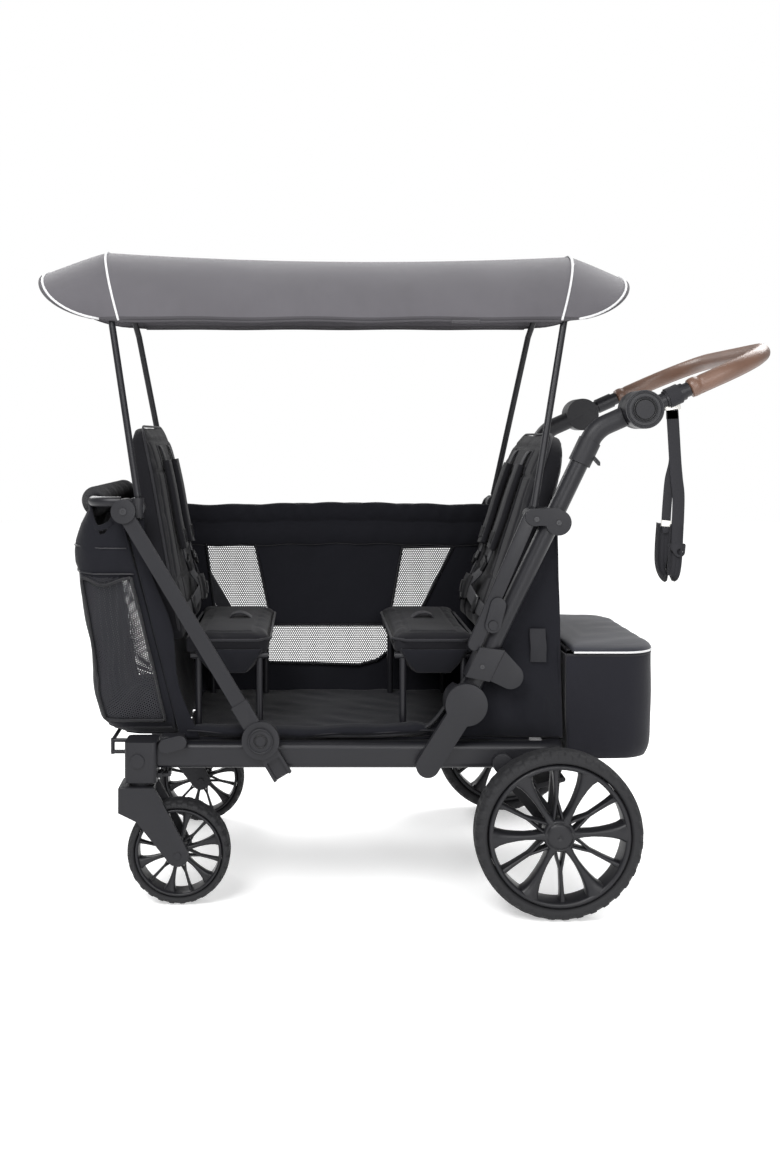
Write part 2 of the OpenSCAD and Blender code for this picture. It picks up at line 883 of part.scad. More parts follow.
module pan() {
    linear_extrude(cushion_t) {
        translate([25, 0]) square([pan_l - 50, 2 * seat_y], center = false);
        square([pan_l - 25, 2 * seat_y]);
        translate([pan_l - 25, 25]) circle(r = 25);
        translate([pan_l - 25, 2 * seat_y - 25]) circle(r = 25);
        translate([0, 25]) square([pan_l, 2 * seat_y - 50]);
    }
}

module seat_pan_front() {
    color(pad_c) translate([pan_front_x, -seat_y, pan_low]) pan();
}

module seat_pan_rear() {
    color(pad_c) mirror([1, 0, 0]) translate([-pan_rear_x, -seat_y, pan_low]) pan();
}

module harness_straps() {
    pair() {
        translate([-4, -76, 60]) cube([4, 38, back_l - 120]);
        translate([-12, -70, 52]) cube([12, 26, 40]);
    }
    translate([-14, -26, 20]) cube([14, 52, 44]);
}

module harness() {
    color("#2f3034") {
        translate([back_front_x, 0, seat_z - back_low])
            mirror([1, 0, 0]) rotate([0, lean_front, 0]) harness_straps();
        translate([back_rear_x, 0, seat_z - back_low]) rotate([0, lean_rear, 0]) harness_straps();
    }
}

// ---------- canopy ----------

function arch_y(v) = arch_r * sin(v * arch_a);
function arch_h(v) = (arch_r * cos(v * arch_a) - (arch_r - canopy_arch)) / canopy_arch;
function rim_out(h) = sqrt(max(0, 1 - pow(1 - h, 2)));

// Stations run from the front rim (0) over both seams to the rear rim (1)
visor_steps = [1, 0.9, 0.6, 0.3];

function seam_x(h, front) = front ? seam_front - seam_rake * h : seam_rear + seam_rake * h;
function rim_x(h, front) =
    front ? seam_front - visor_l * rim_out(h) : seam_rear + visor_rear_l * rim_out(h);

function visor_pt(t, h, front) =
    [seam_x(h, front) * (1 - t) + rim_x(h, front) * t,
     hem_z + h * canopy_arch - h * visor_drop * t - (t == 1 ? 8 * h : 0)];

function body_pt(t, h) =
    [seam_x(h, true) * (1 - t) + seam_x(h, false) * t,
     hem_z + h * (canopy_arch - 4 * ridge_sag * t * (1 - t))];

canopy_stations = [for (t = visor_steps) [0, t], for (i = [0 : body_steps]) [1, i / body_steps],
                   for (i = [0 : 3]) [2, visor_steps[3 - i]]];

function canopy_xz(s, h) =
    s[0] == 0 ? visor_pt(s[1], h, true) : s[0] == 1 ? body_pt(s[1], h) : visor_pt(s[1], h, false);

function canopy_pt(s, v, inset) =
    let (h = arch_h(v), p = canopy_xz(s, h)) [p.x, arch_y(v) * (1 - inset / hem_y), p.y - inset * h];

module shell(outer, inner) {
    nu = len(outer);
    nv = len(outer[0]);
    pts = [for (row = outer) each row, for (row = inner) each row];
    base = nu * nv;
    function o(i, j) = i * nv + j;
    function n(i, j) = base + i * nv + j;
    faces = [
        for (i = [0 : nu - 2], j = [0 : nv - 2]) each [
            [o(i, j), o(i, j + 1), o(i + 1, j + 1)], [o(i, j), o(i + 1, j + 1), o(i + 1, j)],
            [n(i, j), n(i + 1, j + 1), n(i, j + 1)], [n(i, j), n(i + 1, j), n(i + 1, j + 1)]],
        for (i = [0 : nu - 2]) each [
            [o(i, 0), o(i + 1, 0), n(i + 1, 0)], [o(i, 0), n(i + 1, 0), n(i, 0)],
            [o(i, nv - 1), n(i + 1, nv - 1), o(i + 1, nv - 1)],
            [o(i, nv - 1), n(i, nv - 1), n(i + 1, nv - 1)]],
        for (j = [0 : nv - 2]) each [
            [o(0, j), n(0, j + 1), o(0, j + 1)], [o(0, j), n(0, j), n(0, j + 1)],
            [o(nu - 1, j), o(nu - 1, j + 1), n(nu - 1, j + 1)],
            [o(nu - 1, j), n(nu - 1, j + 1), n(nu - 1, j)]]];
    polyhedron(pts, faces);
}

module canopy_cloth() {
    vs = [for (j = [0 : arch_steps]) -1 + 2 * j / arch_steps];
    color(canopy_c) shell([for (s = canopy_stations) [for (v = vs) canopy_pt(s, v, 0)]],
                          [for (s = canopy_stations) [for (v = vs) canopy_pt(s, v, cloth_t)]]);
}

hoop_steps = 14;

// A round tube through a list of points that lie in planes across the wagon
module hoop_tube(pts, d) {
    n = 10;
    last = len(pts) - 1;
    rings = [for (i = [0 : last])
        let (v = pts[min(last, i + 1)] - pts[max(0, i - 1)], t = v / norm(v), a = [1, 0, 0],
             b = cross(t, a) / norm(cross(t, a)), c = cross(b, t))
        [for (k = [0 : n - 1]) pts[i] + d / 2 * (cos(k * 360 / n) * b + sin(k * 360 / n) * c)]];
    faces = [for (i = [0 : last - 1], k = [0 : n - 1])
                 let (m = (k + 1) % n) [i * n + k, i * n + m, (i + 1) * n + m, (i + 1) * n + k],
             [for (k = [0 : n - 1]) n - 1 - k], [for (k = [0 : n - 1]) last * n + k]];
    polyhedron([for (r = rings) each r], faces);
}

module canopy_hoop(front) {
    inset = cloth_t + rod_d / 2 + 3;
    spread = front ? -14 : 6;
    pts = [for (j = [0 : hoop_steps]) let (v = -1 + 2 * j / hoop_steps, h = arch_h(v))
        [seam_x(h, front) + spread * (1 - h), arch_y(v) * (1 - inset / hem_y),
         hem_z + h * canopy_arch - inset * h]];
    hoop_tube(pts, rod_d);
    foot = front ? rod_front : rod_rear;
    top = pts[0];
    pair() {
        rod([foot.x, -rod_y, foot.y + 2], top, rod_d);
        translate([foot.x, -rod_y, foot.y - spigot_l]) cylinder(d = spigot_d, h = spigot_l + 3);
    }
}

module canopy_frame() {
    color(frame_c) {
        canopy_hoop(true);
        canopy_hoop(false);
    }
}

// ---------- brake and fasteners ----------

pedal_w = 90;

module brake_pedal() {
    color(plastic_c) difference() {
        union() {
            disc(rear_axle, 17, -pedal_w / 2, pedal_w / 2);
            slab(-pedal_w / 2, pedal_w / 2) capsule(rear_axle + [8, 4], rear_axle + [62, 18], 10);
        }
        disc(rear_axle, cross_d / 2 + play, -pedal_w / 2 - 1, pedal_w / 2 + 1);
    }
}

module screw(p, a, r) {
    translate([p.x, -a, p.y]) rotate([90, 0, 0]) difference() {
        cylinder(r = r, h = 2);
        translate([0, 0, 1]) cylinder(r = r * 0.5, h = 2, $fn = 6);
    }
}

module fasteners() {
    house_y = frame_y + upright_d / 2 + house_t;
    color("#6c6d71") pair() {
        screw(along(70, -3), house_y, 4);
        screw(bracket_hub + [2, -6], outer_y + 6, 4.5);
        screw(bracket_hub + [-36, 0], outer_y + 6, 4.5);
        screw(strut_top, strut_out + 3, 6);
    }
}

rail();  // rail_left
on_right() rail();  // rail_right
crossbars();
floor_board();
corner_blocks();
tow_loop();
rail_bumpers();
axle_legs();
rear_axle();
knee_castings();
upright_tube();  // upright_left
on_right() upright_tube();  // upright_right
link_bars();
rod_brackets();
lower_housings();
elbows();
seat_hangers();
latch_plates();
latch_button();  // latch_button_left
on_right() latch_button();  // latch_button_right
strut();  // strut_left
on_right() strut();  // strut_right
top_castings();
bag_hoop();
tub_floor();
tub_side_left();
tub_side_right();
tub_ends();
front_bag();
rear_basket();
basket_lid();
seat_frames();
seat_back_front();
seat_back_rear();
seat_pan_front();
seat_pan_rear();
harness();
handle_bow();
handle_grip();
handle_button();  // handle_button_left
on_right() handle_button();  // handle_button_right
strap_loop();
wrist_strap();
strap_plate();
rear_tyre();  // rear_tyre_left
rear_rim();  // rear_rim_left
on_right() rear_tyre();  // rear_tyre_right
on_right() rear_rim();  // rear_rim_right
front_tyre();  // front_tyre_left
front_rim();  // front_rim_left
on_right() front_tyre();  // front_tyre_right
on_right() front_rim();  // front_rim_right
fork();  // fork_left
on_right() fork();  // fork_right
swivel_lock();  // swivel_lock_left
on_right() swivel_lock();  // swivel_lock_right
canopy_cloth();
canopy_frame();
brake_pedal();
fasteners();
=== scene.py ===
# %% [markdown]
# # A two-seat pull wagon
# The frame of this wagon comes as finished solids: rails, uprights, pivots and wheels, each in its
# true place. This script dresses that frame. It sets a camera and soft light, gives every solid a
# finish, and builds the cloth, padding, tyres and straps around it.

# %% Load the frame
import json

import bmesh
import bpy
import numpy as np
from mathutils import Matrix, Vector

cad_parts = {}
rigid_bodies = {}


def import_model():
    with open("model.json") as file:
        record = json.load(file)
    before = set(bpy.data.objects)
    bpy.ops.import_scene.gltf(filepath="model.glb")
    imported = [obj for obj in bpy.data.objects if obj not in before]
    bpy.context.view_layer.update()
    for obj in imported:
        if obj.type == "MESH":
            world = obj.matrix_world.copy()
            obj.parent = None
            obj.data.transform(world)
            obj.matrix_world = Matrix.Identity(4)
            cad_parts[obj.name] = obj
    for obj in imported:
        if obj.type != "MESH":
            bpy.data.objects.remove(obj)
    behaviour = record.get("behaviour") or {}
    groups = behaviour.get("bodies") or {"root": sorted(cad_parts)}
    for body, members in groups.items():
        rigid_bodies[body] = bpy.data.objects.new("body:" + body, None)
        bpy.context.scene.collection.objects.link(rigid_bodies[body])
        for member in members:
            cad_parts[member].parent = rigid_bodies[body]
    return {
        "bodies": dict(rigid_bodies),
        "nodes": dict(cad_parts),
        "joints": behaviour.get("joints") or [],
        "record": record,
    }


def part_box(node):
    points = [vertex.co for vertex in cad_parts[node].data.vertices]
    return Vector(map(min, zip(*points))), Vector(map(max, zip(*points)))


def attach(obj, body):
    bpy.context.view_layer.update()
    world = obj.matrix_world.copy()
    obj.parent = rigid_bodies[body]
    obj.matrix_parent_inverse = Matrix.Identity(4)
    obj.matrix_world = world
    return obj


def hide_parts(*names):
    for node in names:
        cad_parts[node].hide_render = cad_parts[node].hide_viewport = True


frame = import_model()
nodes = frame["nodes"]
joints = {j["name"]: j for j in frame["joints"]}
body_of_node = {n: b for b, ns in frame["record"]["behaviour"]["bodies"].items() for n in ns}
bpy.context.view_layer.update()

# %% [markdown]
# ## Places
# Many places below are read from the frame's own boxes and joints, so those parts of the dressing follow if
# the frame is ever rebuilt at other sizes; the rest are fixed numbers. Lengths are metres; +X is the handle
# end, the left side is -Y.

# %% Places read from the frame
MM = 0.001


def low(node):
    """The lowest corner of a solid's box."""
    return np.array(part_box(node)[0])


def high(node):
    """The highest corner of a solid's box."""
    return np.array(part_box(node)[1])


def middle(node):
    """The middle of a solid's box."""
    return (low(node) + high(node)) / 2


def joint_at(name):
    """Where a hinge is."""
    return np.array(joints[name]["pos_m"], float)


handle_at = joint_at("handle_tilt")
print("handle pivot", handle_at)

# %% [markdown]
# ## Camera, floor and light
# The wagon is seen square from its left side with a moderate lens. The lens is shifted instead of
# the camera being turned, so upright tubes stay upright, as a product picture wants.

# %% Camera
EYE = Vector((-0.163, -2.35, 0.80))
LENS = 37.85
SHIFT = (0.0705, -0.1265)

camera_data = bpy.data.cameras.new("camera")
camera_data.lens = LENS
camera_data.sensor_fit = "AUTO"
camera_data.shift_x, camera_data.shift_y = SHIFT
camera = bpy.data.objects.new("camera", camera_data)
camera.location = EYE
camera.rotation_euler = (np.pi / 2, 0, 0)
bpy.context.scene.collection.objects.link(camera)
bpy.context.scene.camera = camera

# %% Floor
FLOOR_HALF = 9.0
FLOOR_DROP = 0.5 * MM

floor_mesh = bpy.data.meshes.new("floor")
floor_mesh.from_pydata(
    [(x * FLOOR_HALF, y * FLOOR_HALF, -FLOOR_DROP) for x, y in ((-1, -1), (1, -1), (1, 1), (-1, 1))],
    [], [(0, 1, 2, 3)])
floor = bpy.data.objects.new("floor", floor_mesh)
bpy.context.scene.collection.objects.link(floor)

# %% Light
WORLD_LIGHT = 0.42
BACKDROP = 1.0

world = bpy.data.worlds.new("studio")
world.use_nodes = True
sky = world.node_tree.nodes
sky["Background"].inputs["Color"].default_value = (1, 1, 1, 1)
seen, span = sky.new("ShaderNodeLightPath"), sky.new("ShaderNodeMapRange")
span.inputs["To Min"].default_value, span.inputs["To Max"].default_value = WORLD_LIGHT, BACKDROP
world.node_tree.links.new(seen.outputs["Is Camera Ray"], span.inputs["Value"])
world.node_tree.links.new(span.outputs["Result"], sky["Background"].inputs["Strength"])
bpy.context.scene.world = world
bpy.context.scene.view_settings.view_transform = "Standard"


def softbox(name, place, aim, size, power):
    """A square area light at a place, turned to face a point."""
    data = bpy.data.lights.new(name, "AREA")
    data.shape, data.size, data.energy = "SQUARE", size, power
    lamp = bpy.data.objects.new(name, data)
    lamp.location = place
    lamp.rotation_euler = (Vector(aim) - Vector(place)).to_track_quat("-Z", "Y").to_euler()
    bpy.context.scene.collection.objects.link(lamp)


softbox("key", (-1.4, -2.4, 3.2), (0, 0, 0.5), 1.8, 130)
softbox("rim", (1.9, 1.4, 2.8), (0, 0, 0.6), 1.8, 90)
softbox("back", (-1.6, 2.2, 2.4), (0, 0, 0.6), 1.6, 60)
softbox("front", (0.8, -3.2, 1.5), (0, 0, 0.5), 1.8, 55)

# %% [markdown]
# ## Shader maths
# A pattern is arithmetic on positions: waves, steps and noise that are added and multiplied. Wiring
# that by hand is slow to read, so one small class wraps a shader socket and turns `+ - *` and `>`
# into Math nodes. Fixed settings are written straight on the shader.

# %% A socket that does arithmetic
class Sock:
    """A shader value that can be used in Python arithmetic."""

    def __init__(self, finish, socket):
        self.finish, self.socket = finish, socket

    def _op(self, operation, *values):
        return self.finish.node("ShaderNodeMath", {"operation": operation}, dict(enumerate(values)))

    def __add__(self, other):
        return self._op("ADD", self, other)

    def __sub__(self, other):
        return self._op("SUBTRACT", self, other)

    def __rsub__(self, other):
        return self._op("SUBTRACT", other, self)

    def __mul__(self, other):
        return self._op("MULTIPLY", self, other)

    def __gt__(self, other):
        return self._op("GREATER_THAN", self, other)

    __radd__, __rmul__ = __add__, __mul__

    def sin(self):
        return self._op("SINE", self)

    def wave(self, pitch):
        """0 to 1 and back once in every pitch metres."""
        return (self * (2 * np.pi / pitch)).sin() * 0.5 + 0.5


class Finish:
    """One material: fixed values go on its shader, patterns are wired in."""

    def __init__(self, name, color, rough, **fixed):
        self.material = bpy.data.materials.new(name)
        self.material.use_nodes = True
        self.tree = self.material.node_tree
        self.shader = self.tree.nodes["Principled BSDF"]
        self.base = (*color, 1.0)
        self.set(**{"Base Color": self.base, "Roughness": rough, **fixed})
        self.relief = None

    def set(self, **values):
        """Writes fixed values, or links wired ones, into the shader's sockets."""
        for key, value in values.items():
            self.put(self.shader.inputs[key], value)

    def put(self, target, value):
        """Links a wrapped socket to a target, or writes a plain value there."""
        if isinstance(value, Sock):
            self.tree.links.new(value.socket, target)
        else:
            target.default_value = value

    def node(self, kind, settings=None, inputs=None, output=0):
        """Adds any node: its settings first, then the values or links of its sockets."""
        made = self.tree.nodes.new(kind)
        for key, value in (settings or {}).items():
            if key == "stops":
                ramp = made.color_ramp.elements
                while len(ramp) < len(value):
                    ramp.new(0.5)
                for stop, (at, shade) in zip(ramp, value):
                    stop.position, stop.color = at, shade
            else:
                setattr(made, key, value)
        for key, value in (inputs or {}).items():
            self.put(made.inputs[key], value)
        return Sock(self, made.outputs[output])

    def place(self, stretch=(1, 1, 1)):
        """Object coordinates, in metres, stretched along each axis."""
        where = self.node("ShaderNodeTexCoord", output=3)
        if tuple(stretch) == (1, 1, 1):
            return where
        return self.node("ShaderNodeMapping", {}, {"Vector": where, "Scale": stretch})

    def uv(self):
        """The piece's own UV map, in metres along its cloth."""
        return self.node("ShaderNodeUVMap", {"uv_map": "cloth"})

    def parts(self, vector):
        """The three parts of a vector, as sockets."""
        first = self.node("ShaderNodeSeparateXYZ", {}, {0: vector})
        outputs = first.socket.node.outputs
        return [Sock(self, outputs[k]) for k in range(3)]

    def noise(self, per_metre, detail=3.0, where=None):
        """Cloudy noise from 0 to 1 with this many lumps in a metre."""
        return self.node("ShaderNodeTexNoise", {}, {
            "Vector": where or self.place(), "Scale": per_metre, "Detail": detail})

    def blend(self, amount, first, second):
        """A colour between two, by an amount from 0 to 1."""
        ready = [c if isinstance(c, Sock) else (*c, 1.0) for c in (first, second)]
        return self.node("ShaderNodeMix", {"data_type": "RGBA"},
                         {0: amount, 6: ready[0], 7: ready[1]}, output=2)

    def emboss(self, height, metres, strength=1.0):
        """Adds relief: the height runs from 0 to 1 over this many metres."""
        inputs = {"Height": height, "Distance": metres, "Strength": strength}
        if self.relief:
            inputs["Normal"] = self.relief
        self.relief = self.node("ShaderNodeBump", {}, inputs)
        self.set(Normal=self.relief)


def tint(color, amount):
    """A colour made lighter (above 1) or darker (below 1)."""
    return tuple(min(1.0, c * amount) for c in color)

# %% [markdown]
# ## Finishes
# Paint, moulded plastic, rubber, cloth, netting, leather and webbing each get a base colour, a slow
# drift of tone, and relief at the true scale of that material: a fraction of a millimetre for cast
# texture, a millimetre for weave. Threads follow each cloth's own UV map, which is in metres.

# %% Metal and plastic
FRAME_GREY = (0.0105, 0.0105, 0.013)
CAST_GREY = (0.013, 0.013, 0.0155)
TYRE_GREY = (0.015, 0.015, 0.0165)


def painted_metal(name, color, rough=0.38):
    """Satin powder coat: fine orange peel, and a slow drift of gloss."""
    f = Finish(name, color, rough, **{"Metallic": 0.12, "Specular IOR Level": 0.32})
    drift = f.noise(9, 4)
    f.set(Roughness=drift * 0.16 + (rough - 0.08))
    f.set(**{"Base Color": f.blend(drift, tint(color, 0.88), tint(color, 1.14))})
    f.emboss(f.noise(900, 2), 0.00006)
    return f.material


def moulded(name, color, rough=0.5, grain=1400):
    """Cast plastic: a leathery mould grain and slightly paler worn patches."""
    f = Finish(name, color, rough, **{"Specular IOR Level": 0.26})
    drift = f.noise(14, 5)
    f.set(**{"Base Color": f.blend(drift, tint(color, 0.86), tint(color, 1.16))})
    f.set(Roughness=drift * 0.2 + (rough - 0.1))
    f.emboss(f.noise(grain, 2), 0.00012, 0.8)
    return f.material


paint = painted_metal("frame_paint", FRAME_GREY)
cast = moulded("cast_plastic", CAST_GREY)
dark_cast = moulded("dark_plastic", (0.007, 0.007, 0.008), 0.40)
rim_plastic = moulded("rim_plastic", (0.012, 0.012, 0.014), 0.36)
rubber = moulded("tyre_rubber", TYRE_GREY, 0.72, 700)
board = moulded("board", (0.02, 0.02, 0.022), 0.7)
steel = painted_metal("screw_steel", (0.035, 0.035, 0.038), 0.25)
slider_steel = painted_metal("slider_steel", (0.62, 0.61, 0.58), 0.22)

# %% [markdown]
# Woven cloth is two sets of threads that pass over and under each other. The product of two waves
# gives the lumps of a plain weave, and noise gives the puckers that any sewn panel has.

# %% Cloth
CLOTH_NAVY = (0.0048, 0.0050, 0.0080)
PAD_GREY = (0.0060, 0.0059, 0.0080)
CANOPY_GREY = (0.088, 0.084, 0.093)
PIPING = (0.60, 0.60, 0.61)


def woven(name, color, pitch, rough=0.85, sheen=0.25, pucker=0.0006, by_uv=True, slub=0.12):
    """Plain weave: relief is the product of a warp wave and a weft wave, on slow puckers."""
    f = Finish(name, color, rough, **{
        "Sheen Weight": sheen, "Sheen Roughness": 0.45, "Specular IOR Level": 0.2})
    if by_uv:
        across, along, _ = f.parts(f.uv())
        weave = across.wave(pitch) * along.wave(pitch)
    else:
        x, y, z = f.parts(f.place())
        weave = (x + z * 0.31).wave(pitch) * (z + y * 0.47).wave(pitch)
    drift = f.noise(7, 5)
    streak = f.noise(60, 3, f.place((1, 1, 0.12)))
    tone = drift * 0.55 + streak * slub + weave * 0.30
    f.set(**{"Base Color": f.blend(tone, tint(color, 0.72), tint(color, 1.32))})
    f.emboss(weave, 0.00022, 0.6)
    f.emboss(f.noise(22, 4), pucker, 0.9)
    return f.material


def netting(name, color, pitch=0.0032, hole=0.60):
    """Knitted net: round holes on a staggered grid, open where two cosine waves add up high."""
    f = Finish(name, color, 0.8)
    across, along, _ = f.parts(f.uv())
    p, q = (across + along * 0.577) * (2 * np.pi / pitch), (along * 1.1547) * (2 * np.pi / pitch)
    height = p.sin() + q.sin() + (p - q).sin()
    f.set(Alpha=1 - (height > hole - 1.0))
    f.material.surface_render_method = "DITHERED"
    return f.material


tub_cloth = woven("tub_cloth", CLOTH_NAVY, 0.0011, pucker=0.0012, sheen=0.08)
pad_cloth = woven("pad_cloth", PAD_GREY, 0.0013, by_uv=False, sheen=0.06)
lid_cloth = woven("lid_cloth", (0.026, 0.027, 0.034), 0.0013, by_uv=False, sheen=0.2)
canopy_fabric = woven("canopy_fabric", CANOPY_GREY, 0.0010, pucker=0.0004, rough=0.8, slub=0.2)
# The hem cloth is the canopy grey darkened: painted shade, for the dark band of shade along the canopy's
# lower edge. The hem strips, hem rolls, visor bindings and rolled tab all use this darkened cloth.
hem_painted_shade_fabric = woven("hem_painted_shade_fabric", tint(CANOPY_GREY, 0.62), 0.0010)
basket_cloth = woven("basket_cloth", (0.0085, 0.0085, 0.0125), 0.0012, pucker=0.0014, sheen=0.12)
strap_web = woven("strap_webbing", (0.016, 0.016, 0.019), 0.0016, rough=0.7, sheen=0.08, pucker=0.0001)
piping_cloth = woven("piping_cloth", PIPING, 0.0012, rough=0.45, sheen=0.0, pucker=0.0001)
net = netting("window_net", (0.012, 0.012, 0.016), pitch=0.0044, hole=1.40)
zip_teeth = moulded("zip_teeth", (0.022, 0.022, 0.025), 0.35)

# %% [markdown]
# The grip is wrapped in brown leather. Leather has cells a millimetre wide with soft creases
# between them, which a cell pattern gives, and it is darker where hands have polished it.

# %% Leather
def leather(name, color, rough=0.42):
    """Leather: cells of about a millimetre pressed in as relief, and a warm cloudy tone."""
    f = Finish(name, color, rough, **{"Coat Weight": 0.12, "Coat Roughness": 0.35})
    cells = f.node("ShaderNodeTexVoronoi", {"feature": "F1"}, {"Vector": f.place(), "Scale": 750.0})
    drift = f.noise(18, 5)
    f.set(**{"Base Color": f.blend(drift, tint(color, 0.70), tint(color, 1.28))})
    f.set(Roughness=drift * 0.2 + (rough - 0.1))
    f.emboss(cells, 0.00016, 0.7)
    return f.material


LEATHER_BROWN = (0.118, 0.062, 0.041)
grip_leather = leather("grip_leather", LEATHER_BROWN)
thread = woven("leather_thread", (0.10, 0.055, 0.035), 0.0006, by_uv=False)

# %% Floor finish
GLOW_NEAR, GLOW_FAR, GLOW_REACH = 0.40, 1.0, 2.2
floor_finish = Finish("floor_white", (0.80, 0.80, 0.80), 0.7, **{
    "Emission Color": (1, 1, 1, 1), "Emission Strength": 1.0})
over_x, over_y, _ = floor_finish.parts(floor_finish.place())
away = (over_x * over_x + over_y * over_y) * (1 / GLOW_REACH**2)
floor_finish.set(**{"Emission Color": floor_finish.blend(away, (GLOW_NEAR,) * 3, (GLOW_FAR,) * 3),
                    "Base Color": floor_finish.blend(away, (0.80,) * 3, (0.30,) * 3)})
floor_mesh.materials.append(floor_finish.material)

# %% [markdown]
# ## Mesh tools
# Most new pieces are a grid of points: a function of two parameters gives every point at once. The
# same idea makes tubes and straps: a flat profile is carried along a path, and the frame at each
# step comes from the path's direction and one fixed "up".

# %% Grids
def add_mesh(name, points, faces, body, material, smooth=True):
    """Makes an object of points and faces that rides on a body."""
    mesh = bpy.data.meshes.new(name)
    mesh.from_pydata(np.asarray(points, float).reshape(-1, 3).tolist(), [], faces)
    mesh.update()
    piece = bpy.data.objects.new(name, mesh)
    bpy.context.scene.collection.objects.link(piece)
    piece.data.materials.append(material)
    if smooth:
        mesh.shade_smooth()
    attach(piece, body)
    return piece


def grid_faces(nu, nv, round_u=False, round_v=False, keep=None):
    """The quads of an nu by nv grid, as an array; keep is a mask of quads."""
    iu = np.arange(nu if round_u else nu - 1)
    iv = np.arange(nv if round_v else nv - 1)
    u, v = np.meshgrid(iu, iv, indexing="ij")
    u2, v2 = (u + 1) % nu, (v + 1) % nv
    quads = np.stack([u * nv + v, u2 * nv + v, u2 * nv + v2, u * nv + v2], -1)
    return quads[keep] if keep is not None else quads.reshape(-1, 4)


def arc_lengths(P, axis):
    """Distance travelled along one axis of a grid of points."""
    step = np.linalg.norm(np.diff(P, axis=axis), axis=-1)
    zero = np.zeros_like(np.take(step, [0], axis=axis))
    return np.cumsum(np.concatenate([zero, step], axis=axis), axis=axis)


def write_uv(piece, U, V):
    """Stores a UV map named cloth, in metres, from one value per vertex."""
    mesh = piece.data
    corner = np.zeros(len(mesh.loops), np.int32)
    mesh.loops.foreach_get("vertex_index", corner)
    layer = mesh.uv_layers.new(name="cloth")
    pairs = np.stack([np.ravel(U)[corner], np.ravel(V)[corner]], -1)
    layer.data.foreach_set("uv", pairs.astype(np.float32).ravel())


def sheet_mesh(name, P, body, material, thick=0.0, keep=None, flip=False, **close):
    """A cloth surface from a grid of points P[u, v], with a UV map in metres and a thickness."""
    nu, nv = P.shape[:2]
    faces = grid_faces(nu, nv, keep=keep, **close)
    if flip:
        faces = faces[:, ::-1]
    piece = add_mesh(name, P, faces.tolist(), body, material)
    write_uv(piece, arc_lengths(P, 0), arc_lengths(P, 1))
    if keep is not None:
        tidy_loose(piece)
    if thick:
        solid = piece.modifiers.new("thickness", "SOLIDIFY")
        solid.thickness, solid.offset = thick, -1
        solid.use_even_offset = False
    return piece


def tidy_loose(piece):
    """Removes points that no face uses."""
    work = bmesh.new()
    work.from_mesh(piece.data)
    bmesh.ops.delete(work, geom=[v for v in work.verts if not v.link_faces], context="VERTS")
    work.to_mesh(piece.data)
    work.free()


def outward(piece):
    """Turns every face outwards on a closed shape."""
    work = bmesh.new()
    work.from_mesh(piece.data)
    bmesh.ops.remove_doubles(work, verts=work.verts, dist=1e-6)
    bmesh.ops.recalc_face_normals(work, faces=work.faces)
    work.to_mesh(piece.data)
    work.free()
    piece.data.shade_smooth()
    return piece

# %% Paths and profiles
def smooth_path(points, n=80, closed=False):
    """A Catmull-Rom curve through a few points, sampled at even distances."""
    P = np.asarray(points, float)
    k = len(P)
    t = np.linspace(0, k if closed else k - 1, 24 * k, endpoint=not closed)
    i = np.floor(t).astype(int)
    if not closed:
        i = np.minimum(i, k - 2)
    f = (t - i)[:, None]
    pick = (lambda j: P[j % k]) if closed else (lambda j: P[np.clip(j, 0, k - 1)])
    a, b, c, d = pick(i - 1), pick(i), pick(i + 1), pick(i + 2)
    Q = 0.5 * (2 * b + (c - a) * f + (2 * a - 5 * b + 4 * c - d) * f**2 + (3 * b - a - 3 * c + d) * f**3)
    if closed:
        Q = np.vstack([Q, Q[:1]])
    return even(Q, n + (1 if closed else 0))[: n if closed else None]


def even(P, n):
    """The same line, resampled to n points at even distances."""
    P = np.asarray(P, float)
    s = arc_lengths(P, 0)
    at = np.linspace(0, s[-1], n)
    return np.stack([np.interp(at, s, P[:, k]) for k in range(3)], -1)


def frames(path, up, closed=False):
    """Side and up directions at each point of a path."""
    if closed:
        ahead = np.roll(path, -1, 0) - np.roll(path, 1, 0)
    else:
        ahead = np.gradient(path, axis=0)
    ahead = ahead / np.linalg.norm(ahead, axis=1, keepdims=True)
    side = np.cross(ahead, np.asarray(up, float))
    side = side / np.maximum(np.linalg.norm(side, axis=1, keepdims=True), 1e-9)
    return side, np.cross(side, ahead)


def sweep(name, path, profile, body, material, up=(0, 0, 1), closed=False, scale=None, caps=True):
    """Carries a closed profile (side, up) along a path, and caps its ends."""
    path, profile = np.asarray(path, float), np.asarray(profile, float)
    side, rise = frames(path, up, closed)
    size = np.ones(len(path)) if scale is None else np.asarray(scale, float)
    P = (path[:, None] + size[:, None, None] * (
        side[:, None] * profile[None, :, :1] + rise[:, None] * profile[None, :, 1:]))
    nu, nv = P.shape[:2]
    faces = grid_faces(nu, nv, round_u=closed, round_v=True).tolist()
    if caps and not closed:
        faces += [list(range(nv)), list(range(nu * nv - 1, (nu - 1) * nv - 1, -1))]
    piece = add_mesh(name, P, faces, body, material)
    around = arc_lengths(np.vstack([profile, profile[:1]])[:, None] * 1.0, 0)[:-1, 0]
    U = np.repeat(arc_lengths(path, 0)[:, None], nv, 1)
    write_uv(piece, U, np.repeat(around[None], nu, 0))
    return outward(piece) if caps and not closed else piece


def circle(radius, n=16):
    """A round profile."""
    a = np.linspace(0, 2 * np.pi, n, endpoint=False)
    return radius * np.stack([np.cos(a), np.sin(a)], -1)


def flat_profile(width, thick, n=6):
    """A strap's section: a flat bar with round edges."""
    r = thick / 2
    a = np.linspace(-np.pi / 2, np.pi / 2, n)
    right = np.stack([width / 2 - r + r * np.cos(a), r * np.sin(a)], -1)
    return np.vstack([right, -right])


def joined(name, parts):
    """Joins pieces of one body into one piece."""
    bpy.ops.object.select_all(action="DESELECT")
    for part in parts:
        part.select_set(True)
    bpy.context.view_layer.objects.active = parts[0]
    bpy.ops.object.join()
    parts[0].name = name
    return parts[0]


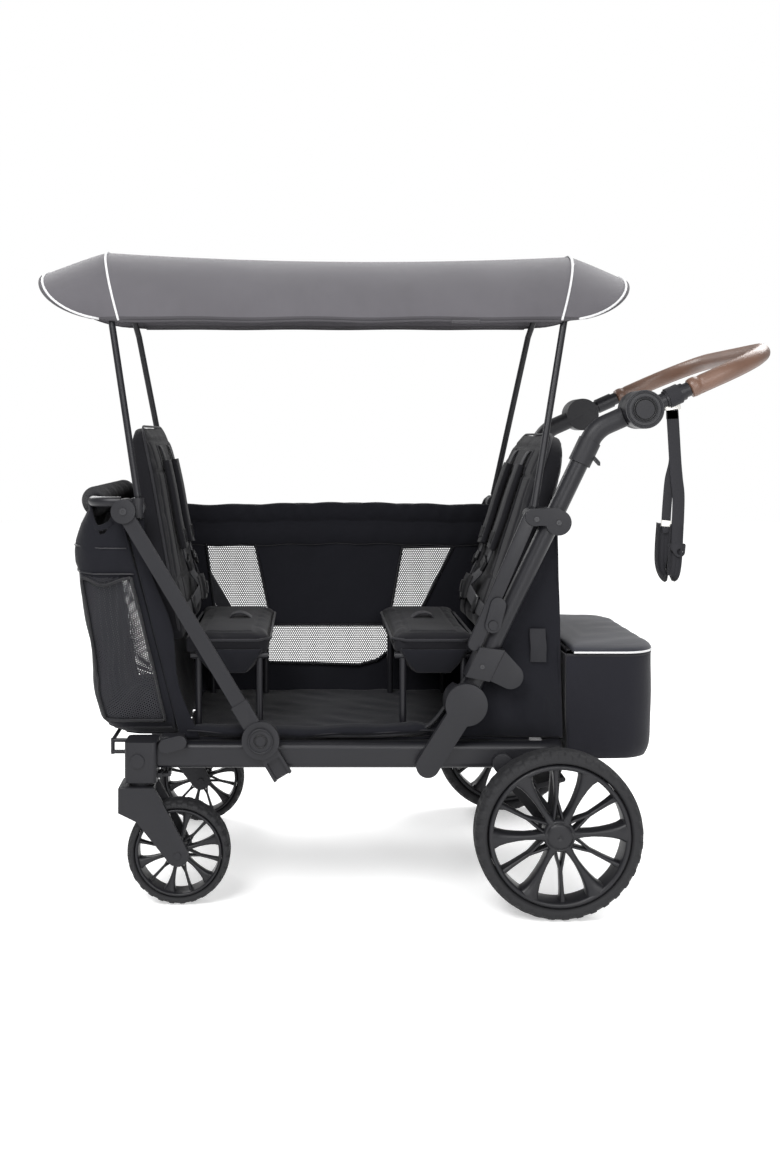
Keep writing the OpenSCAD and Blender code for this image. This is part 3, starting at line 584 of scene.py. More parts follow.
def apply_modifiers(piece):
    """Bakes the modifiers of a piece into its mesh."""
    bpy.ops.object.select_all(action="DESELECT")
    piece.select_set(True)
    bpy.context.view_layer.objects.active = piece
    for modifier in list(piece.modifiers):
        bpy.ops.object.modifier_apply(modifier=modifier.name)

# %% [markdown]
# ## Finishes for the solids
# The rails, uprights and struts keep their exact solids and only get paint. Castings are moulded with
# soft edges, so each is copied, its triangles are merged into faces, and its edges are bevelled.

# %% Paint the frame
SOLID_FINISH = {
    "paint": (paint, ["rail_left", "rail_right", "crossbars", "tow_loop", "upright_left", "upright_right",
                      "link_bars", "bag_hoop", "seat_frames", "canopy_frame", "latch_button_left",
                      "latch_button_right", "handle_bow"]),
    "cast": (cast, ["corner_blocks", "rail_bumpers", "axle_legs", "knee_castings", "rod_brackets",
                    "lower_housings", "elbows", "seat_hangers", "latch_plates", "top_castings",
                    "handle_button_left", "handle_button_right", "fork_left", "fork_right", "strut_left",
                    "strut_right", "swivel_lock_left", "swivel_lock_right", "brake_pedal"]),
    "board": (board, ["floor_board"]),
    "steel": (steel, ["fasteners", "rear_axle"]),
    "web": (strap_web, ["strap_loop", "strap_plate"]),
}


def coat(node, material):
    """Gives a solid one material."""
    nodes[node].data.materials.clear()
    nodes[node].data.materials.append(material)


for material, members in SOLID_FINISH.values():
    for member in members:
        coat(member, material)

# %% Soft edges on castings
EDGE_R = 1.6 * MM


def softened(node, radius=EDGE_R, material=None):
    """A copy of a solid with merged faces and bevelled edges, in place of the solid."""
    copy = bpy.data.objects.new(node + "_moulded", nodes[node].data.copy())
    bpy.context.scene.collection.objects.link(copy)
    work = bmesh.new()
    work.from_mesh(copy.data)
    bmesh.ops.remove_doubles(work, verts=work.verts, dist=0.01 * MM)
    bmesh.ops.dissolve_limit(work, angle_limit=0.02, verts=work.verts, edges=work.edges)
    work.to_mesh(copy.data)
    work.free()
    copy.data.materials.clear()
    copy.data.materials.append(material or nodes[node].data.materials[0])
    bevel = copy.modifiers.new("soft edge", "BEVEL")
    bevel.width, bevel.segments, bevel.limit_method = radius, 3, "ANGLE"
    bevel.angle_limit = np.radians(35)
    bevel.harden_normals = True
    copy.data.shade_smooth()
    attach(copy, body_of_node[node])
    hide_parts(node)
    return copy


SOFT_CASTINGS = ["corner_blocks", "rail_bumpers", "axle_legs", "knee_castings", "rod_brackets",
                 "lower_housings", "seat_hangers", "latch_plates", "top_castings", "fork_left",
                 "fork_right", "strut_left", "strut_right", "brake_pedal", "link_bars"]
for name in SOFT_CASTINGS:
    softened(name)
print("castings with soft edges:", len(SOFT_CASTINGS))

# %% [markdown]
# ## Tyres
# A tyre is a ring with a rounded section. The section is a squashed circle (a superellipse), spun
# round the axle, and the tread is a second function on the same grid: blocks on both shoulders stand
# up where a sine of the angle is positive, and two zigzag grooves run between them.

# %% Tyres
def lathe(name, profile, centre, body, material, n=120):
    """Spins a closed (sideways, radius) profile round a wheel's axle."""
    turn = np.linspace(0, 2 * np.pi, n, endpoint=False)
    side, radius = np.asarray(profile, float).T
    P = np.stack([np.cos(turn)[:, None] * radius, np.ones((n, 1)) * side, np.sin(turn)[:, None] * radius], -1)
    piece = add_mesh(name, P + centre, grid_faces(n, len(side), True, True).tolist(), body, material)
    return outward(piece)


SECTION_STEPS = 56


def tyre(node, wall, lugs):
    """A ring of superellipse section with shoulder blocks and zigzag grooves cut into its crown."""
    centre, reach = middle(node), (high(node) - low(node)) / 2
    outer, half = reach[2], reach[1]
    n = lugs * 16
    turn = np.linspace(0, 2 * np.pi, n, endpoint=False)[:, None]
    a = np.linspace(0, 2 * np.pi, SECTION_STEPS, endpoint=False)[None]
    side = half * np.sign(np.cos(a)) * np.abs(np.cos(a)) ** 0.62
    crown = np.sign(np.sin(a)) * np.abs(np.sin(a)) ** 0.72
    radius = outer - wall / 2 + wall / 2 * crown
    phase = turn * lugs + 0.9 * np.sign(side)
    block = np.clip(3.0 * np.sin(phase + 0.7 * np.sin(2 * phase)), -1, 1) * 0.5 + 0.5
    shoulder = np.clip((np.abs(side) / half - 0.50) * 6, 0, 1) * np.clip((crown + 0.05) * 3, 0, 1)
    zigzag = 0.24 * half + 0.07 * half * np.arcsin(np.sin(turn * lugs)) / (np.pi / 2)
    groove = np.exp(-((np.abs(side) - zigzag) / (0.055 * half)) ** 2) * (crown > 0.6)
    bead = np.exp(-((crown + 0.35) / 0.07) ** 2)
    radius = radius - 0.0026 * shoulder * (1 - block) - 0.0022 * groove
    side = side * np.ones_like(turn) * (1 - 0.035 * shoulder * (1 - block) - 0.02 * bead)
    P = np.stack([np.cos(turn) * radius, side, np.sin(turn) * radius], -1) + centre
    faces = grid_faces(n, SECTION_STEPS, True, True).tolist()
    piece = add_mesh(node + "_tread", P, faces, body_of_node[node], rubber)
    outward(piece)
    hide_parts(node)
    return piece


REAR_WALL, FRONT_WALL = 22 * MM, 14 * MM
for side_name in ("left", "right"):
    tyre("rear_tyre_" + side_name, REAR_WALL, 36)
    tyre("front_tyre_" + side_name, FRONT_WALL, 28)
print("tyres: 4")

# %% [markdown]
# ## Rims
# Each rim has six broad spokes that flare where they meet the rim, and six thin ones that split in
# two near the hub. One spoke is a loft: a soft rectangle whose width and depth change along a line.
# It is worked out once, then turned round the hub by six rotations at a time.

# %% Spokes and rims
def loft(line, widths, depths, around):
    """A soft rectangle carried along a line in the wheel's plane; gives points [along, around, 3]."""
    line = np.asarray(line, float)
    ahead = np.gradient(line, axis=0)
    ahead /= np.linalg.norm(ahead, axis=1, keepdims=True)
    a = np.linspace(0, 2 * np.pi, around, endpoint=False)
    c = np.sign(np.cos(a)) * np.abs(np.cos(a)) ** 0.55
    s = np.sign(np.sin(a)) * np.abs(np.sin(a)) ** 0.55
    across = np.stack([-ahead[:, 1], ahead[:, 0]], -1)
    flat = line[:, None] + across[:, None] * (np.asarray(widths)[:, None] * c)[..., None]
    return np.stack([flat[..., 0], np.asarray(depths)[:, None] * s, flat[..., 1]], -1)


def resample(table, n):
    """Smooth values at n even steps from rows of (radius, sideways, half width, half depth)."""
    table = np.asarray(table, float)
    t = np.linspace(0, 1, n)
    k = np.linspace(0, 1, len(table))
    return np.stack([np.interp(t, k, table[:, c]) for c in range(table.shape[1])], -1)


BROAD = [(15, 0, 9, 15), (26, 0, 7.5, 14), (40, 0, 5.5, 12.5), (56, 0, 5.2, 12), (72, 0, 6.6, 12.5),
         (88, 0, 9.2, 13.5), (100, 0, 12.5, 15), (108, 0, 17, 16.5), (114, 0, 22, 17)]
THIN = [(57, 0, 3.2, 8), (66, 0, 3.4, 8), (80, 0, 3.5, 8.5), (96, 0, 3.9, 9.5), (108, 0, 5.0, 11),
        (114, 0, 7, 12)]
LEG = [(20, 8.5, 3.0, 10), (32, 6.4, 2.7, 9.5), (44, 4.0, 2.6, 9), (54, 1.6, 2.6, 8.5), (62, 0.4, 2.4, 8)]
BARREL = [(-19, 117.5), (-20, 114), (-18.5, 110.5), (-15, 109.5), (0, 108.5), (15, 109.5),
          (18.5, 110.5), (20, 114), (19, 117.5), (0, 117.8)]
DRAWN_RADIUS, DRAWN_HALF_WIDTH = 118 * MM, 20 * MM
SPOKE_STEPS, SPOKE_AROUND = 17, 16


def spoked_rim(node, tyre_node, wall, spin):
    """The barrel, hub, cap and twelve spokes of one wheel, joined into one piece."""
    centre, body = middle(tyre_node), body_of_node[node]
    reach = (high(tyre_node) - low(tyre_node)) / 2
    k = (reach[2] - wall) / DRAWN_RADIUS
    depth = 0.92 * reach[1] / DRAWN_HALF_WIDTH
    outer_face = np.sign(centre[1])
    parts = []
    for table, mirror, offset in ((BROAD, 1, 0), (THIN, 1, 30), (LEG, 1, 30), (LEG, -1, 30)):
        rows = resample(table, SPOKE_STEPS)
        P = loft(rows[:, :2] * (1, mirror), rows[:, 2], rows[:, 3] * depth, SPOKE_AROUND)
        P[..., 1] += outer_face * 3.0
        for turn in np.radians(spin + offset + np.arange(6) * 60):
            c, s = np.cos(turn), np.sin(turn)
            Q = np.stack([P[..., 0] * c - P[..., 2] * s, P[..., 1],
                          P[..., 0] * s + P[..., 2] * c], -1) * k * MM
            faces = grid_faces(SPOKE_STEPS, SPOKE_AROUND, round_v=True).tolist()
            last = SPOKE_STEPS * SPOKE_AROUND - 1
            faces += [list(range(SPOKE_AROUND)), list(range(last, last - SPOKE_AROUND, -1))]
            part = add_mesh("spoke", Q + centre, faces, body, rim_plastic)
            parts.append(outward(part))
    barrel = np.array(BARREL) * (depth * MM, k * MM)
    parts.append(lathe("barrel", barrel, centre, body, rim_plastic, 144))
    face = 0.86 * reach[1] / MM
    hub = np.array([
        (-outer_face * face * 0.8, 6.6), (-outer_face * face * 0.8, 24 * k),
        (outer_face * (face - 9), 27 * k), (outer_face * (face - 3), 25.5 * k),
        (outer_face * (face - 2), 23 * k), (outer_face * (face - 3.4), 22.2 * k),
        (outer_face * (face - 3.4), 21.2 * k), (outer_face * (face - 1), 20.4 * k),
        (outer_face * face, 17 * k), (outer_face * (face + 0.8), 9 * k),
        (outer_face * (face + 1), 0.01), (outer_face * (face - 8), 0.01),
        (outer_face * (face - 8), 6.6)]) * MM
    parts.append(lathe("hub", hub, centre, body, rim_plastic, 72))
    piece = joined(node + "_spokes", parts)
    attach(piece, body)
    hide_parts(node)
    return piece


for side_name in ("left", "right"):
    spoked_rim("rear_rim_" + side_name, "rear_tyre_" + side_name, REAR_WALL, 3)
    spoked_rim("front_rim_" + side_name, "front_tyre_" + side_name, FRONT_WALL, 17)
print("rims: 4")

# %% [markdown]
# ## Canopy
# The canopy is one cloth. Across, it follows an arc; along, it runs level between two seams and
# droops into a rounded visor at each end. Both directions are one formula in (along, across), so
# the light piping at the seams and rims is a tube carried along the same formula, and always fits.

# %% Canopy surface
HEM_Z = low("canopy_cloth")[2]
HEM_Y = high("canopy_cloth")[1]
CANOPY_ENDS = low("canopy_cloth")[0], high("canopy_cloth")[0]
RIDGE_FRONT, RIDGE_REAR = 145 * MM, 137 * MM
ARC_RISE = 0.146
SEAM_FRONT, SEAM_REAR, SEAM_RAKE = -495 * MM, 284 * MM, 46 * MM
VISOR_DROP, RIDGE_SAG = 42 * MM, 13 * MM
FAR_SLACK = 20 * MM


def canopy_point(station, across, lift=0.0):
    """Points of the canopy: station -1..0 is the front visor, 0..1 the body, 1..2 the rear visor."""
    s, v = np.broadcast_arrays(np.asarray(station, float), np.asarray(across, float))
    rise = RIDGE_FRONT + (RIDGE_REAR - RIDGE_FRONT) * np.clip(s, 0, 1)
    arc_r = (HEM_Y**2 + ARC_RISE**2) / (2 * ARC_RISE)
    arc_a = np.arcsin(HEM_Y / arc_r)
    y = arc_r * np.sin(v * arc_a)
    h = np.clip((arc_r * np.cos(v * arc_a) - (arc_r - ARC_RISE)) / ARC_RISE, 0, 1)
    front_seam, rear_seam = SEAM_FRONT - SEAM_RAKE * h, SEAM_REAR + SEAM_RAKE * h
    bulge = np.sqrt(np.maximum(0, 1 - (1 - h) ** 2))
    front_rim = SEAM_FRONT + (CANOPY_ENDS[0] - SEAM_FRONT) * bulge
    rear_rim = SEAM_REAR + (CANOPY_ENDS[1] - SEAM_REAR) * bulge
    t = np.clip(s, 0, 1)
    x = front_seam + (rear_seam - front_seam) * t
    x = np.where(s < 0, front_seam + (front_rim - front_seam) * -s, x)
    x = np.where(s > 1, rear_seam + (rear_rim - rear_seam) * (s - 1), x)
    out = np.maximum(np.maximum(-s, s - 1), 0)
    z = HEM_Z + h * rise - 4 * h * RIDGE_SAG * t * (1 - t) - h * VISOR_DROP * out**1.15
    ripple = 0.0012 * np.sin(s * 23 + 2.1 * v) * np.sin(v * 5.2 + 0.6) * np.clip(t * (1 - t) * 6, 0, 1)
    z = z + ripple + FAR_SLACK * (1 - h) * np.clip((v + 0.2) / 1.2, 0, 1)
    slope = v * arc_a
    return np.stack([x, y + lift * np.sin(slope), z + lift * np.cos(slope)], -1)


across = np.linspace(-1, 1, 65)[None]
stations = np.concatenate([
    np.linspace(-1, 0, 15)[:-1], np.linspace(0, 1, 41), np.linspace(1, 2, 15)[1:]])[:, None]
surface = canopy_point(stations, across)
cover = sheet_mesh("canopy_cover", surface, "canopy", canopy_fabric, thick=1.6 * MM)
# The outermost strip of faces on each side, along the lower edge, takes the darkened hem cloth: painted
# shade.
cover.data.materials.append(hem_painted_shade_fabric)
painted_shade_hem_faces = np.zeros(len(cover.data.polygons), np.int32)
painted_shade_hem_faces.reshape(len(stations) - 1, 64)[:, [0, 63]] = 1
cover.data.polygons.foreach_set("material_index", painted_shade_hem_faces)
if cover.data.polygons[len(painted_shade_hem_faces) // 2].normal.z < 0:
    cover.data.flip_normals()
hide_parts("canopy_cloth")


def seam_line(station, ends=1.0, n=70, lift=0.9 * MM):
    """A line across the canopy at one station, just above the cloth."""
    return canopy_point(station, np.linspace(-ends, ends, n), lift)


PIPE_R = 2.2 * MM
pipes = [sweep("pipe", seam_line(s, e), circle(PIPE_R, 10), "canopy", piping_cloth, up=(1, 0, 0))
         for s, e in ((0.0, 1.0), (1.0, 1.0), (-0.95, 0.985), (1.95, 0.985))]
canopy_piping = joined("canopy_piping", pipes)
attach(canopy_piping, "canopy")
cuts = [sweep("rim", seam_line(s, 1.0, 70, -0.6 * MM), flat_profile(3.4 * MM, 3.0 * MM), "canopy",
              hem_painted_shade_fabric, up=(0, 1, 0.2))
        for s in (-1.0, 2.0)]
canopy_rim = joined("canopy_rim_binding", cuts)
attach(canopy_rim, "canopy")
hem_line = canopy_point(np.linspace(-0.98, 1.98, 160), -1.0) + (0, 0, -1.2 * MM)
hem_far = canopy_point(np.linspace(-0.98, 1.98, 160), 1.0) + (0, 0, -1.2 * MM)
hem_rolls = joined("canopy_hem_roll", [
    sweep("hem", line, flat_profile(3.2 * MM, 4.6 * MM), "canopy", hem_painted_shade_fabric, up=(0, 0, 1))
    for line in (hem_line, hem_far)])
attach(hem_rolls, "canopy")
tab_at = canopy_point(0.78, -1.0)
tab_line = np.linspace(tab_at + (-0.022, -0.004, -0.002), tab_at + (0.026, -0.004, -0.002), 24)
tab = sweep("canopy_rolled_tab", tab_line, circle(3.6 * MM, 14) * (1, 0.8), "canopy", hem_painted_shade_fabric)

# %% [markdown]
# ## Tub
# The tub is a box of cloth hung between the frame's corners. Its far side has three net windows. A
# window is cut from a fine grid: the squares inside its outline go, and the points along the cut are
# moved onto the outline, so the edge is straight. A net patch fills the hole and a tape hides the edge.

# %% Cloth panels with windows
TUB_TOP = high("tub_side_right")[2]
TUB_LOW = low("tub_side_right")[2]
TUB_REAR = high("tub_side_right")[0]
WALL_Y = high("tub_side_right")[1] - 2 * MM
WALL_FOOT = low("tub_floor")[0] - 5 * MM
WALL_SLOPE = -0.2517


def front_wall_x(z):
    """Where the slanted front wall of the tub is at a height."""
    return WALL_FOOT + (z - TUB_LOW) * WALL_SLOPE


def inside(outline, x, z):
    """Which points lie inside an outline: an edge is crossed an odd number of times going right."""
    hit = np.zeros(x.shape, bool)
    for (x0, z0), (x1, z1) in zip(outline, np.roll(outline, -1, 0)):
        crosses = (z0 > z) != (z1 > z)
        hit ^= crosses & (x < (x1 - x0) * (z - z0) / (z1 - z0 + 1e-12) + x0)
    return hit


def snapped(outline, x, z):
    """The nearest point of an outline, for every point."""
    best, spot = np.full(x.shape, np.inf), np.stack([x, z], -1)
    P = np.stack([x, z], -1)
    for a, b in zip(outline, np.roll(outline, -1, 0)):
        t = np.clip(((P - a) @ (b - a)) / ((b - a) @ (b - a)), 0, 1)
        Q = a + t[..., None] * (b - a)
        far = np.linalg.norm(P - Q, axis=-1)
        spot = np.where((far < best)[..., None], Q, spot)
        best = np.minimum(best, far)
    return spot


def windowed(P, outlines):
    """Cuts outlines from a grid that is seen from the side; returns the points and the quads to keep."""
    P = P.copy()
    keep = np.ones((P.shape[0] - 1, P.shape[1] - 1), bool)
    mid = (P[:-1, :-1] + P[1:, :-1] + P[:-1, 1:] + P[1:, 1:]) / 4
    for outline in outlines:
        cut = inside(outline, mid[..., 0], mid[..., 2])
        keep &= ~cut
        grown = np.zeros((P.shape[0] + 1, P.shape[1] + 1), bool)
        grown[1:-1, 1:-1] = cut
        some = grown[1:, 1:] | grown[:-1, 1:] | grown[1:, :-1] | grown[:-1, :-1]
        every = grown[1:, 1:] & grown[:-1, 1:] & grown[1:, :-1] & grown[:-1, :-1]
        edge = some & ~every
        spot = snapped(outline, P[..., 0], P[..., 2])
        P[edge, 0], P[edge, 2] = spot[edge, 0], spot[edge, 1]
    return P, keep


def wrinkles(x, z, size, seed):
    """Soft folds: five sine waves with turned directions and seeded phases."""
    dice = np.random.default_rng(seed)
    total = np.zeros(np.broadcast(x, z).shape)
    for k in range(5):
        turn, pitch, phase = dice.uniform(0, np.pi), dice.uniform(0.05, 0.16), dice.uniform(0, 6.3)
        total = total + np.sin((x * np.cos(turn) + z * np.sin(turn)) * 2 * np.pi / pitch + phase) / (k + 1.5)
    return total * size / 2


def net_patch(name, outline, y):
    """A flat net that fills an outline of four to six corners."""
    outline = np.asarray(outline, float)
    ring = np.vstack([outline, outline[:1]])
    points = np.column_stack([ring[:-1, 0], np.full(len(outline), y), ring[:-1, 1]])
    piece = add_mesh(name, points, [list(range(len(outline)))], "frame", net)
    write_uv(piece, points[:, 0], points[:, 2])
    return piece


CLOTH_THICK = 1.6 * MM
WINDOWS = [np.array(w) * MM for w in (
    [(-374, 585), (-272, 581), (-238, 418), (-352, 418)],
    [(33, 571), (139, 573), (60, 418), (6, 418)],
    [(-268, 411), (-2, 411), (12, 362), (-18, 338), (-56, 328), (-268, 334)])]

u, v = np.linspace(0, 1, 170)[:, None], np.linspace(0, 1, 104)[None]
top_line = TUB_TOP - 3 * MM - 2.0 * MM * np.sin(u * 9) - 1.0 * MM * np.sin(u * 41 + 1)
z = TUB_LOW + (top_line - TUB_LOW) * v
x = front_wall_x(z) + (TUB_REAR - 10 * MM * v - front_wall_x(z)) * u
y = WALL_Y + wrinkles(x, z, 2.6 * MM, 4) * np.sin(np.pi * u) ** 0.4
far_grid, far_keep = windowed(np.stack([x, y * np.ones_like(x), z], -1), WINDOWS)
far_wall = sheet_mesh("tub_far_wall", far_grid, "frame", tub_cloth, thick=CLOTH_THICK, keep=far_keep)
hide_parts("tub_side_right")
nets = [net_patch("tub_net_%d" % k, w, WALL_Y) for k, w in enumerate(WINDOWS)]
tapes = []
for outline in WINDOWS:
    ring = np.array([[px, WALL_Y - 1.6 * MM, pz] for px, pz in np.vstack([outline, outline[:1]])])
    tapes.append(sweep("tape", even(ring, 160)[:-1], flat_profile(2.4 * MM, 7 * MM), "frame", tub_cloth,
                       up=(0, 1, 0), closed=True))
window_tapes = joined("tub_window_tapes", tapes)
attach(window_tapes, "frame")

# %% Padded top band of the far side
BAND = 86 * MM
STITCH_AT = 0.56
u, v = np.linspace(0, 1, 260)[:, None], np.linspace(0, 1, 40)[None]
band_top = TUB_TOP - 2 * MM - 2.0 * MM * np.sin(u * 9) - 1.2 * MM * np.sin(u * 47 + 1)
z = band_top - BAND * (1 - v)
x = front_wall_x(z) + 4 * MM + (TUB_REAR - 12 * MM - front_wall_x(z)) * u
row = np.where(v < STITCH_AT, v / STITCH_AT, (v - STITCH_AT) / (1 - STITCH_AT))
puff = 7.5 * MM * np.sin(np.pi * row) ** 0.6 * (
    1 + 0.16 * np.sin(u * 130 + 3 * np.sin(u * 17)) * (v > STITCH_AT))
y = WALL_Y - 1.5 * MM - puff - wrinkles(x * 2.2, z, 2.0 * MM, 9) * np.sin(np.pi * row)
band = sheet_mesh("tub_top_band", np.stack([x, y, z], -1), "frame", tub_cloth, thick=1.4 * MM)
pleats = []
for level in (0.0, STITCH_AT):
    column, at = int(level * 39), np.linspace(0, 1, 200)
    line = np.stack([np.interp(at, u[:, 0], x[:, column]), np.full(200, WALL_Y - 2.6 * MM),
                     np.interp(at, u[:, 0], z[:, column])], -1)
    pleats.append(sweep("stitch", line, circle(0.7 * MM, 6), "frame", strap_web))
band_stitches = joined("tub_band_stitches", pleats)
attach(band_stitches, "frame")

# %% Tub ends and mat
def wall_sheet(name, x_of, y_half, z0, z1, seed, size=2.4 * MM):
    """A cloth wall across the wagon at x_of(z), with soft folds."""
    a, b = np.linspace(-1, 1, 90)[:, None], np.linspace(0, 1, 60)[None]
    z = z0 + (z1 - z0) * b - 4 * MM * (1 - a**2) * b
    yy = a * y_half * np.ones_like(z)
    xx = x_of(z) + wrinkles(yy, z, size, seed) * (1 - a**6)
    P = np.stack([xx, yy, z], -1)
    piece = sheet_mesh(name, P, "frame", tub_cloth, thick=CLOTH_THICK)
    return piece, P


END_TOP = high("tub_ends")[2]
REAR_TOP = high("tub_side_left")[2]
tub_front, front_wall_grid = wall_sheet(
    "tub_front_wall", lambda z: front_wall_x(z) + 1 * MM, WALL_Y, TUB_LOW + 3 * MM, END_TOP - 2 * MM, 21)
tub_rear, rear_wall_grid = wall_sheet(
    "tub_rear_wall", lambda z: TUB_REAR - 3 * MM - (z - TUB_LOW) * 0.02, WALL_Y, TUB_LOW + 5 * MM,
    REAR_TOP, 22)
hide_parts("tub_ends")
mat_low, mat_high = low("tub_floor"), high("tub_floor")
u, v = np.linspace(0, 1, 120)[:, None], np.linspace(0, 1, 80)[None]
x = mat_low[0] + (mat_high[0] - mat_low[0]) * u * np.ones_like(v)
y = mat_low[1] + (mat_high[1] - mat_low[1]) * v * np.ones_like(u)
z = mat_high[2] - 1.2 * MM + 1.2 * MM * np.tanh(wrinkles(x, y, 3.0, 5))
mat_grid = np.stack([x, y, z], -1)
mat = sheet_mesh("tub_mat", mat_grid, "frame", tub_cloth, thick=4 * MM)
if mat.data.polygons[50].normal.z < 0:
    mat.data.flip_normals()
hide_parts("tub_floor")

# %% [markdown]
# The near side is zipped open. What is left is a corner behind the upright, a narrow strip at the
# front, and the side itself, rolled and tucked along the sill. The zip's two rows of teeth run in a
# curve round the opening, so the curve is written first and the cloth's edge follows it.

# %% Near side: corner, strip and rolled flap
ZIP_CURVE = smooth_path(np.array([
    (252, 622), (225, 572), (190, 495), (155, 429), (118, 385), (88, 345), (58, 305), (30, 288),
    (-5, 281), (-60, 279), (-190, 279)])[:, [0, 0, 1]] * MM * (1, 0, 1), 120)
NEAR_Y = -WALL_Y
v = np.linspace(0, 1, 60)[None]
CORNER_ROWS = 86
edge = ZIP_CURVE[:CORNER_ROWS]
heel = np.column_stack([np.linspace(TUB_REAR - 8 * MM, TUB_REAR, CORNER_ROWS), np.zeros(CORNER_ROWS),
                        np.linspace(REAR_TOP, TUB_LOW + 4 * MM, CORNER_ROWS)])
P = edge[:, None] * (1 - v[..., None]) + heel[:, None] * v[..., None]
bulge = np.exp(-((P[..., 0] - 0.205) / 0.055) ** 4 - ((P[..., 2] - 0.330) / 0.048) ** 4)
pleat = 1 + 0.10 * np.sin(P[..., 0] * 150 + P[..., 2] * 40)
P[..., 1] = NEAR_Y + wrinkles(P[..., 0], P[..., 2], 3.4 * MM, 12) - 13 * MM * bulge * pleat
near_corner = sheet_mesh("tub_near_corner", P, "frame", tub_cloth, thick=CLOTH_THICK)
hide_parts("tub_side_left")
z = np.linspace(TUB_LOW + 4 * MM, TUB_TOP - 8 * MM, 90)[:, None]
t = np.linspace(0, 1, 16)[None]
x = front_wall_x(z) - 1 * MM + 34 * MM * t * (0.8 + 0.2 * np.sin(z * 30))
P = np.stack([x, NEAR_Y + wrinkles(x, z, 1.8 * MM, 13) - 2 * MM * np.sin(np.pi * t), z + 0 * t], -1)
near_strip = sheet_mesh("tub_near_strip", P, "frame", tub_cloth, thick=CLOTH_THICK)
ROLL_STEPS = 150
roll_x = np.linspace(-372, 62, ROLL_STEPS) * MM
roll_z = TUB_LOW + 15 * MM + 3 * MM * np.sin(roll_x * 14 + 1) + 1.2 * MM * np.sin(roll_x * 47)
roll = np.column_stack([roll_x, np.full(ROLL_STEPS, NEAR_Y + 4 * MM), roll_z])
a = np.linspace(0, 2 * np.pi, 30, endpoint=False)
lumpy = (1 + 0.10 * np.sin(3 * a + 0.7)) * np.stack([13 * np.cos(a), 11 * np.sin(a)]) * MM
nearest_end = np.minimum(np.arange(ROLL_STEPS), np.arange(ROLL_STEPS)[::-1])
ends = np.clip(nearest_end / 12, 0.25, 1) ** 0.5 * (
    1 + 0.06 * np.sin(roll_x * 61))
flap_roll = sweep("tub_rolled_side", roll, lumpy.T, "frame", tub_cloth, scale=ends)
crease = roll + (0, -12.2 * MM, -2 * MM)
zip_parts = [
    sweep("zip", ZIP_CURVE + (0, NEAR_Y - 1.6 * MM, 0), flat_profile(3.2 * MM, 9 * MM), "frame",
          strap_web, up=(0, 1, 0)),
    sweep("zip", ZIP_CURVE + (0, NEAR_Y - 3.4 * MM, 0), flat_profile(1.8 * MM, 3.4 * MM), "frame",
          zip_teeth, up=(0, 1, 0)),
    sweep("zip", crease + (0, 0, 1.5 * MM), circle(1.3 * MM, 8), "frame", strap_web)]
zip_edge = joined("tub_zip", zip_parts)
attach(zip_edge, "frame")


print("tub done")

# %% [markdown]
# ## Front bag
# The bag is a shell that hangs from the hoop. Its section is a rounded rectangle whose front and
# back move with height, so a grid of (height, way round the section) gives the whole shell. The
# mouth dips on both sides, and both side panels have a net window that lies between grid lines.

# %% Front bag shell
BAG_Y = high("front_bag")[1] - 1 * MM
BAG_LOW = low("front_bag")[2] - 2.5 * MM
HOOP = np.array([low("bag_hoop")[0] + 9 * MM, 0, middle("bag_hoop")[2]])
BAG_FRONT = np.array([
    (281, -500), (286, -519), (303, -534), (340, -541), (414, -549), (492, -561), (540, -570),
    (581, -576), (620, -575), (650, -567), (685, -553)]) * MM


def bag_section(z, y_half, corner=46 * MM):
    """One rounded section of the bag at each height: near side, front, far side, then the back."""
    front = np.interp(z, *BAG_FRONT.T)
    back = front_wall_x(z) - 2.5 * MM
    q = np.linspace(0, np.pi / 2, 9)
    near = np.linspace(0, 1, 30)[1:-1]
    rows = []
    side_x = back + (front + corner - back) * near[:, None]
    rows.append(np.stack([side_x, np.broadcast_to(-y_half, side_x.shape)], -1))
    cx, cy = front + corner - corner * np.sin(q)[:, None], -y_half + corner - corner * np.cos(q)[:, None]
    rows.append(np.stack([cx, cy], -1))
    fy = (-y_half + corner) * (1 - 2 * np.linspace(0, 1, 50)[1:-1][:, None])
    rows.append(np.stack([np.broadcast_to(front, fy.shape) - 4 * MM * (1 - (fy / y_half) ** 2), fy], -1))
    rows.append(np.stack([cx[::-1], -cy[::-1]], -1))
    rows.append(np.stack([side_x[::-1], np.broadcast_to(y_half, side_x.shape)], -1))
    by = y_half * (1 - 2 * np.linspace(0, 1, 24)[:, None])
    rows.append(np.stack([np.broadcast_to(back, by.shape), by], -1))
    return np.concatenate(rows, 0)


BAG_ROWS = 110
BAG_ZIPS = 0.566, 0.611
rise = np.linspace(0, 1, BAG_ROWS)
base_z = BAG_LOW + (HOOP[2] - 4 * MM - BAG_LOW) * rise
ring = bag_section(base_z, np.full(BAG_ROWS, BAG_Y)).transpose(1, 0, 2)
on_side = np.abs(ring[..., 1]) / BAG_Y
back_here, front_here = front_wall_x(base_z)[:, None], np.interp(base_z, *BAG_FRONT.T)[:, None]
depth_in = np.clip((back_here - ring[..., 0]) / (back_here - front_here), 0, 1)
dip = 58 * MM * np.clip((on_side - 0.55) / 0.45, 0, 1) ** 1.5 * np.exp(-((depth_in - 0.55) / 0.33) ** 2)
z = base_z[:, None] - dip * rise[:, None] ** 3 - 16 * MM * np.exp(-(depth_in / 0.2) ** 2) * rise[:, None] ** 3
tuck = 1 - 0.10 * np.exp(-(rise[:, None] / 0.045) ** 1.3)
folds = wrinkles(ring[..., 0] * 1.2 + ring[..., 1], z, 4.2 * MM, 31) * np.clip(rise[:, None] * 6, 0, 1)
zip_lift = 2.6 * MM * np.exp(-((z - 0.588) / 0.020) ** 4)
mid_x = (back_here + front_here) / 2
